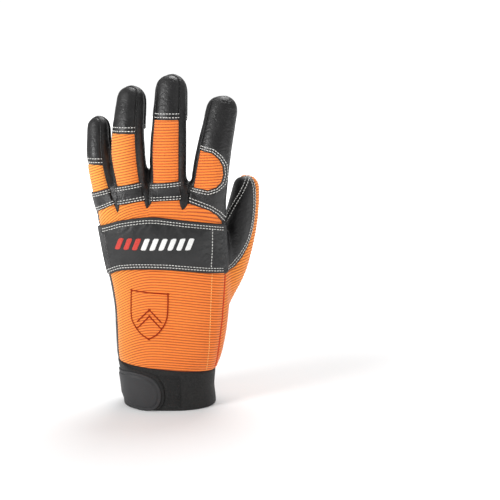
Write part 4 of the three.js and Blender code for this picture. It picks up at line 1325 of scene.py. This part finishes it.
tabOutline = smoothLine([
    (-60, 27.6), (-36.5, 29.2), (-27, 30.0), (-17.5, 28.7), (-10.6, 25.8), (-6.3, 20.5), (-4.5, 13.9), (-5.4, 7.2), (-8.9, 2.4),
    (-14.5, 0.5), (-23.1, 0.8), (-30.5, 3.6), (-34.5, 7.0), (-38, 9.2), (-60, 11)], 6)
bandOutline = smoothLine([
    (-60, 38), (-37.6, 36.3), (-28, 32.4), (-17.5, 30.4), (-8.4, 27.4), (-4.0, 21.5), (-2.2, 13.9), (-3.2, 6.6), (-7.4, 1.9), (-14, 0.45),
    (-24, 0.35), (-60, 0.35)], 6)
wx, wy, wz = wrap.points.T
wrapFront = wrap.points[:, [0, 2]]
bandField = np.minimum(depthInside(wrapFront, bandOutline), 15.3 - wy)
tabField = np.minimum(depthInside(wrapFront, tabOutline), -3.5 - wy)
hookField = np.minimum.reduce([wx + 7.5, 10.2 - wx, wz - 2.6, 28.2 - wz, -wy, -bandField - 0.25])
onCuff("closure_band", bandField, 0.25, cuff["bandThick"], "cuffElastic", (0.25, 0.6, 1.1, 1.8), lambda d: cutEdge(d, 1.0))
onCuff("closure_tab", tabField, 0.25 + cuff["bandThick"] + 0.05, cuff["tabThick"], "tabRubber",
       (0.2, 0.5, 0.9, 1.7, 2.2, 2.5, 2.9, 3.4, 4.2),
       lambda d: 0.5 * cutEdge(d, 0.7) - 0.12 * np.exp(-((d - 2.2) / 0.35) ** 2) + 0.5 * ramp(d, 2.2, 3.4))
onCuff("hook_patch", hookField, 0.05, 0.7, "hookTape", (0.3, 0.7, 1.3, 2.0, 3.0), lambda d: 0.12 + 0.88 * ramp(d, 0, 3.2), 0.3)
print("cuff made")


# ---- stitches ----

stitch = {"pitch": 2.25, "length": 1.3, "thick": 0.31, "rise": 0.24, "sink": 0.14, "sway": 0.07, "seed": 7}


def stitchTree():
    tree = bpy.data.node_groups.new("stitchRow", "GeometryNodeTree")
    face = tree.interface
    face.new_socket(name="Geometry", in_out="INPUT", socket_type="NodeSocketGeometry")
    for label in ("Pitch", "Length", "Thick", "Rise", "Sink", "Sway"):
        face.new_socket(name=label, in_out="INPUT", socket_type="NodeSocketFloat")
    face.new_socket(name="Seed", in_out="INPUT", socket_type="NodeSocketInt")
    face.new_socket(name="Material", in_out="INPUT", socket_type="NodeSocketMaterial")
    face.new_socket(name="Geometry", in_out="OUTPUT", socket_type="NodeSocketGeometry")
    plan = Plan(tree)
    source = plan.add("NodeGroupInput")
    half = source.part("Length") * 0.5
    point = lambda x, z: plan.add("ShaderNodeCombineXYZ", {}, {"X": x, "Z": z})
    low = source.part("Sink") * -1
    thread = plan.add("GeometryNodeCurvePrimitiveBezierSegment", {}, {
        "Resolution": 4, "Start": point(half * -1, low), "End": point(half, low),
        "Start Handle": point(half * -0.75, source.part("Rise") * 1.3),
        "End Handle": point(half * 0.75, source.part("Rise") * 1.3)})
    round_ = plan.add("GeometryNodeCurvePrimitiveCircle", {}, {"Resolution": 6, "Radius": source.part("Thick")})
    single = plan.add("GeometryNodeCurveToMesh", {}, {"Curve": thread, "Profile Curve": round_, "Fill Caps": True})
    row = plan.add("GeometryNodeMeshToCurve", {}, {"Mesh": source.part("Geometry")})
    spaced = plan.add("GeometryNodeResampleCurve", {"mode": "LENGTH"}, {"Curve": row, "Length": source.part("Pitch")})
    up = plan.add("GeometryNodeInputNamedAttribute", {"data_type": "FLOAT_VECTOR"}, {"Name": "up"})
    along = plan.add("GeometryNodeInputTangent")
    sway = plan.add("FunctionNodeRandomValue", {"data_type": "FLOAT_VECTOR"}, {
        0: (-1, -1, -1), 1: (1, 1, 1), "Seed": source.part("Seed")})
    swayed = plan.add("ShaderNodeVectorMath", {"operation": "SCALE"}, {0: sway, "Scale": source.part("Sway")})
    way = plan.add("ShaderNodeVectorMath", {"operation": "ADD"}, {0: along, 1: swayed})
    turn = plan.add("FunctionNodeAxesToRotation", {"primary_axis": "Z", "secondary_axis": "X"},
                    {"Primary Axis": up, "Secondary Axis": way})
    many = plan.add("GeometryNodeInstanceOnPoints", {}, {"Points": spaced, "Instance": single, "Rotation": turn})
    plain = plan.add("GeometryNodeRealizeInstances", {}, {"Geometry": many})
    soft = plan.add("GeometryNodeSetShadeSmooth", {}, {"Geometry": plain})
    dressed = plan.add("GeometryNodeSetMaterial", {}, {"Geometry": soft, "Material": source.part("Material")})
    plan.add("NodeGroupOutput", {}, {"Geometry": dressed})
    return tree


stitches = stitchTree()
threads = {}


def evened(spots, ups, step=0.5):
    lengths = np.concatenate([[0], np.cumsum(np.linalg.norm(np.diff(spots, axis=0), axis=1))])
    if lengths[-1] < 2.5:
        return None
    at = np.linspace(0, lengths[-1], max(3, int(lengths[-1] / step)))
    spots = np.stack([np.interp(at, lengths, spots[:, k]) for k in range(3)], 1)
    ups = np.stack([np.interp(at, lengths, ups[:, k]) for k in range(3)], 1)
    for _ in range(3):
        spots[1:-1] = (spots[:-2] + 2 * spots[1:-1] + spots[2:]) / 4
        ups[1:-1] = (ups[:-2] + 2 * ups[1:-1] + ups[2:]) / 4
    return spots, ups


def addRow(group, spots, ups):
    row = evened(spots, ups)
    if row:
        threads.setdefault(group, []).append(row)


def rowsOn(group, node, field, levels, keep=None):
    # stitch rows where a field has each of the levels on a finished panel
    sheet = sheets[node]
    for level in levels:
        for spots, ups in sheet.level(field, level):
            if keep is None:
                addRow(group, spots, ups)
                continue
            good = keep(spots)
            edges = np.flatnonzero(np.diff(np.concatenate([[0], good.astype(int), [0]])))
            for first, last in zip(edges[::2], edges[1::2]):
                addRow(group, spots[first:last], ups[first:last])


def surfaceOf(*nodes):
    points, faces, first = [], [], 0
    for node in nodes:
        sheet = sheets[node]
        points.append(sheet.points)
        faces.append(sheet.triangles + first)
        first += len(sheet.points)
    return BVHTree.FromPolygons(np.concatenate(points).tolist(), np.concatenate(faces).tolist())


def laidOn(surface, line, way=1):
    # a front-view line laid on a surface, seen from the back of the hand or from the palm
    spots, ups = [], []
    for x, z in line:
        hit = surface.ray_cast(Vector((x, -way * 150, z)), Vector((0, way, 0)))
        if hit[0]:
            spots.append(hit[0])
            ups.append(hit[1] if hit[1].y * way < 0 else -hit[1])
    return np.array(spots), np.array(ups)


def frontOf(node):
    return sheets[node].points[:, [0, 2]]


guardFront = frontOf("knuckle_guard")
within = lambda low, high: lambda s: (s[:, 0] > low) & (s[:, 0] < high)
for line in (guardTopLine, guardFootLine):
    rowsOn("whiteStitches", "knuckle_guard", distanceTo(guardFront, line), guardSizes["rows"], within(-47.5, 42.8))
guardSurface = surfaceOf("knuckle_guard")
addRow("whiteStitches", *laidOn(guardSurface, smoothLine([(35.2, 139.6), (34.9, 124.2), (34.2, 112.4)], 20)))
addRow("greyStitches", *laidOn(guardSurface, smoothLine([(-46.0, 137), (-44.6, 126.7), (-42.4, 112)], 20)))

for name, (upper, lower, _) in strips.items():
    x, z = frontOf(name + "_strip").T
    rowsOn("whiteStitches", name + "_strip", heightOver(upper, x) - z, stripSizes["rows"])
    rowsOn("whiteStitches", name + "_strip", z - heightOver(lower, x), stripSizes["rows"])

for name in ("pinky", "ring", "middle"):
    edge = digits[name]["rootZ"] + digits[name]["cap"] * form["middleLength"]
    rowsOn("whiteStitches", name + "_cap", sheets[name + "_cap"].points[:, 2] - edge, (1.7, 4.4))
    pad = digits[name]["rootZ"] + digits[name]["pad"] * form["middleLength"]
    rowsOn("whiteStitches", name + "_tip_pad", sheets[name + "_tip_pad"].points[:, 2] - pad, (1.5, 3.3))

coverFront = frontOf("index_cover")
rowsOn("whiteStitches", "index_cover", -depthInside(coverFront, windowOutline), (1.3, 3.1),
       lambda s: (s[:, 1] < 4) & (s[:, 2] > 160))
indexSeam = np.array(seams["index"])
rowsOn("whiteStitches", "index_cover", distanceTo(coverFront, indexSeam[1:6]), (1.5, 3.6),
       lambda s: (s[:, 1] < 0) & (s[:, 0] > 18.5))
middleLine = smoothLine(seams["middle"], 5)
rowsOn("whiteStitches", "thumb_front", -sheets["thumb_front"].values["gusset"], (1.6, 3.5),
       lambda s: (s[:, 2] < 181) & (s[:, 2] > 107) & (s[:, 0] > 44) & ((s[:, 0] > 49.8) | (s[:, 2] < 114)))
rowsOn("whiteStitches", "thumb_front", distanceTo(frontOf("thumb_front"), middleLine), (1.2,),
       lambda s: (s[:, 2] < 176) & (s[:, 2] > seams["middle"][0][1] + 1.5))
rowsOn("whiteStitches", "thumb_inner", distanceTo(frontOf("thumb_inner"), middleLine), (1.2,),
       lambda s: (s[:, 2] < 176) & (s[:, 1] < 22) & (s[:, 2] > seams["middle"][0][1] + 1.5))
thumbEdgeLine = smoothLine(onHand([(.36, .9), (.24, .77), (.24, .68), (.27, .57), (.29, .456), (.305, .405), (.315, .358)]), 6)
for node in patchFields:
    rowsOn("whiteStitches", node, sheets[node].values["rim"], (patchSizes["row"],))
    clear = lambda spots: np.minimum.reduce([
        distanceTo(spots[:, [0, 2]], line) for line in (upperQuilt, lowerQuilt, thumbEdgeLine)]) > 1.7
    rowsOn("whiteStitches", node, depthInside(frontOf(node), patchOutline), (patchSizes["second"],), clear)
dashed = smoothLine([(34.7, 105.2), (33.8, 85.9), (32.8, 62.4), (31.9, 46.5), (29.9, 31.0)], 16)
addRow("goldStitches", *laidOn(surfaceOf("knit_back"), dashed))

shield = {"outline": [(-26.1, 94), (-12, 92.6), (1.7, 91.7), (1.5, 82), (.6, 73.1), (-2.2, 66.5), (-7, 60.6), (-13.3, 56.7),
                      (-19.4, 60.8), (-24, 66.8), (-26.5, 73.1), (-26.6, 84)],
          "chevron": [(-21.5, 70.5), (-12.6, 79.5), (-3.8, 70.0)], "pitch": 1.15, "length": 1.4, "thick": 0.5}
corner = shield["outline"]
shieldLines = [smoothLine(corner[0:3], 12), smoothLine(corner[2:8], 10), smoothLine(corner[7:] + corner[:1], 10)]
first, peak, last = (np.array(p) for p in shield["chevron"])
for drop in (0, 5.0):
    for a, b in ((first, peak), (peak, last)):
        shieldLines.append(np.linspace(a - (0, drop), b - (0, drop), 24))
backSurface = surfaceOf("knit_back")
for line in shieldLines:
    addRow("redStitches", *laidOn(backSurface, line))


def sew(group, look, pitch=stitch["pitch"], length=stitch["length"], thick=stitch["thick"]):
    points, edges, ups = [], [], []
    for spots, normals in threads[group]:
        first = len(points)
        points += (spots * mm).tolist()
        ups += normals.tolist()
        edges += [(first + k, first + k + 1) for k in range(len(spots) - 1)]
    mesh = bpy.data.meshes.new(group)
    mesh.from_pydata(points, edges, [])
    mesh.attributes.new("up", "FLOAT_VECTOR", "POINT").data.foreach_set("vector", np.array(ups, np.float32).ravel())
    piece = bpy.data.objects.new(group, mesh)
    scene.collection.objects.link(piece)
    return baked(piece, stitches, {
        "Pitch": pitch * mm, "Length": length * mm, "Thick": thick * mm, "Rise": stitch["rise"] * mm,
        "Sink": stitch["sink"] * mm, "Sway": stitch["sway"], "Seed": stitch["seed"], "Material": looks[look]})


extras = {
    "whiteStitches": (sew("whiteStitches", "whiteThread"), "white_thread"),
    "greyStitches": (sew("greyStitches", "greyThread"), "white_thread"),
    "goldStitches": (sew("goldStitches", "goldThread"), "white_thread"),
    "redStitches": (sew("redStitches", "redThread", shield["pitch"], shield["length"], shield["thick"]), "red_thread"),
}
print("stitches made:", {k: len(v[0].data.polygons) for k, v in extras.items()})


# ---- welts along the seams ----

welts = {"leather": 0.52, "orange": 0.5, "sides": 8}


def weltTree():
    tree = bpy.data.node_groups.new("weltAlong", "GeometryNodeTree")
    face = tree.interface
    face.new_socket(name="Geometry", in_out="INPUT", socket_type="NodeSocketGeometry")
    for label in ("Radius", "Step"):
        face.new_socket(name=label, in_out="INPUT", socket_type="NodeSocketFloat")
    face.new_socket(name="Sides", in_out="INPUT", socket_type="NodeSocketInt")
    face.new_socket(name="Material", in_out="INPUT", socket_type="NodeSocketMaterial")
    face.new_socket(name="Geometry", in_out="OUTPUT", socket_type="NodeSocketGeometry")
    plan = Plan(tree)
    source = plan.add("NodeGroupInput")
    row = plan.add("GeometryNodeMeshToCurve", {}, {"Mesh": source.part("Geometry")})
    even = plan.add("GeometryNodeResampleCurve", {"mode": "LENGTH"}, {"Curve": row, "Length": source.part("Step")})
    share = plan.add("GeometryNodeSplineParameter", {}, {}, "Factor")
    ends = ((share * math.pi).sum("SINE") * 9).sum("MINIMUM", 1) * 0.85 + 0.15
    sized = plan.add("GeometryNodeSetCurveRadius", {}, {"Curve": even, "Radius": ends})
    round_ = plan.add("GeometryNodeCurvePrimitiveCircle", {}, {"Resolution": source.part("Sides"), "Radius": source.part("Radius")})
    tube = plan.add("GeometryNodeCurveToMesh", {}, {"Curve": sized, "Profile Curve": round_, "Fill Caps": True})
    plain = plan.add("GeometryNodeRealizeInstances", {}, {"Geometry": tube})
    soft = plan.add("GeometryNodeSetShadeSmooth", {}, {"Geometry": plain})
    dressed = plan.add("GeometryNodeSetMaterial", {}, {"Geometry": soft, "Material": source.part("Material")})
    plan.add("NodeGroupOutput", {}, {"Geometry": dressed})
    return tree


def rowMesh(name, rows):
    points, edges = [], []
    for spots, _ in rows:
        first = len(points)
        points += (spots * mm).tolist()
        edges += [(first + k, first + k + 1) for k in range(len(spots) - 1)]
    mesh = bpy.data.meshes.new(name)
    mesh.from_pydata(points, edges, [])
    piece = bpy.data.objects.new(name, mesh)
    scene.collection.objects.link(piece)
    return piece


weltAlong = weltTree()
for node in ("pinky_thumb_side", "ring_little_side", "ring_thumb_side", "middle_little_side", "middle_thumb_side",
             "index_little_side"):
    for spots, ups in sheets[node].level(sheets[node].values["backs"], -0.45):
        addRow("leatherWelts", spots - 0.12 * ups, ups)
# orange welt along the gusset's seam; its darker red-orange colour is painted shade of the crease
for spots, ups in sheets["side_gusset"].level(sheets["side_gusset"].values["knit"], -0.45):
    good = (spots[:, 1] < 2) & (spots[:, 2] < 106)
    edges = np.flatnonzero(np.diff(np.concatenate([[0], good.astype(int), [0]])))
    for first, last in zip(edges[::2], edges[1::2]):
        addRow("orangeWelts", spots[first:last] - 0.1 * ups[first:last], ups[first:last])
for group, look, radius, slotName in (("leatherWelts", "blackLeather", welts["leather"], "black_leather"),
                                      ("orangeWelts", "seamShadeOrange", welts["orange"], "orange_knit")):
    piece = rowMesh(group, threads[group])
    extras[group] = (baked(piece, weltAlong, {"Radius": radius * mm, "Step": 1.1 * mm, "Sides": welts["sides"],
                                              "Material": looks[look]}), slotName)
extras["lining"] = (liningPiece, "cuff_elastic")
print("welts made")


# ---- slanted trim on the knuckle guard ----

trim = {"count": 9, "left": -38.0, "pitch": 6.6, "width": 3.9, "low": 125.4, "high": 134.2, "slant": 3.6, "red": 3, "thick": 0.3}
for k in range(trim["count"]):
    left = trim["left"] + k * trim["pitch"]
    quad = [(left, trim["low"]), (left + trim["width"], trim["low"]), (left + trim["width"] + trim["slant"], trim["high"]),
            (left + trim["slant"], trim["high"])]
    guardSheet = sheets["knuckle_guard"]
    guardSheet.values["normal"] = guardSheet.normals()
    bar = Sheet(guardSheet.points, guardSheet.triangles, {"normal": guardSheet.values["normal"]})
    bar = bar.trimmed(depthInside(guardFront, quad), 0.0)
    bar.banded((0.2, 0.5))
    name = "trimBar%d" % (k + 1)
    look = "trimRed" if k < trim["red"] else "trimWhite"
    made = bar.slab(0.05 + trim["thick"] * cutEdge(bar.values["rim"], 0.5), -0.15, name, look)
    made.name = name
    extras[name] = (made, "trim_print")
print("trim made")


# ---- bodies, camera, lamps and floor ----

for name, piece in pieces.items():
    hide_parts(name)
    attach(piece, "root")
for piece, slotName in extras.values():
    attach(piece, "root")

camera = bpy.data.cameras.new("camera")
camera.lens, camera.sensor_width = 72, 36
eye = bpy.data.objects.new("camera", camera)
eye.location = (0.0633, -0.755, 0.265)
eye.rotation_euler = (math.radians(79.2), 0, 0)
scene.collection.objects.link(eye)
scene.camera = eye
camera.clip_start = 0.01
scene.view_settings.view_transform = "Standard"


def lamp(name, place, aim, size, power):
    light = bpy.data.lights.new(name, "AREA")
    light.shape, light.size, light.energy = "DISK", size, power
    made = bpy.data.objects.new(name, light)
    made.location = place
    made.rotation_euler = (Vector(aim) - Vector(place)).to_track_quat("-Z", "Y").to_euler()
    scene.collection.objects.link(made)


lamp("keyLight", (-0.75, -0.5, 0.62), (0, 0, 0.12), 0.4, 6.5)
lamp("fillLight", (0.85, -0.55, 0.3), (0, 0, 0.12), 0.7, 1.6)
lamp("topLight", (0.1, 0.35, 0.85), (0, 0, 0.15), 0.45, 4.5)
world = bpy.data.worlds.new("studio")
scene.world = world
world.use_nodes = True
world.node_tree.nodes["Background"].inputs["Color"].default_value = (1, 1, 1, 1)
sky = Plan(world.node_tree)
seen = sky.add("ShaderNodeLightPath", {}, {}, "Is Camera Ray")
world.node_tree.links.new((seen * 0.65 + 0.4).socket, world.node_tree.nodes["Background"].inputs["Strength"])


def paleFloor(plan):
    # bright far away, so that it runs into the background, and plain near the glove, where its shadow falls
    spot = place(plan)
    away = plan.add("ShaderNodeVectorMath", {"operation": "LENGTH"}, {0: spot}, "Value")
    glow = plan.blend(plan.ranged(away, 0.16, 0.6), (0.07, 0.07, 0.07, 1), (1.2, 1.2, 1.2, 1))
    return {"Base Color": plan.blend(noise(plan, spot, 3), (0.93, 0.93, 0.93, 1), (0.91, 0.91, 0.915, 1)),
            "Emission Color": glow}


floorMesh = bpy.data.meshes.new("floor")
floorMesh.from_pydata([(-3, -2, 0), (3, -2, 0), (3, 4, 0), (-3, 4, 0)], [], [(0, 1, 2, 3)])
floorMesh.materials.append(newLook("paleFloor", paleFloor, Roughness=0.8, Emission_Strength=1.0))
floor = bpy.data.objects.new("floor", floorMesh)
scene.collection.objects.link(floor)

bpy.context.view_layer.update()
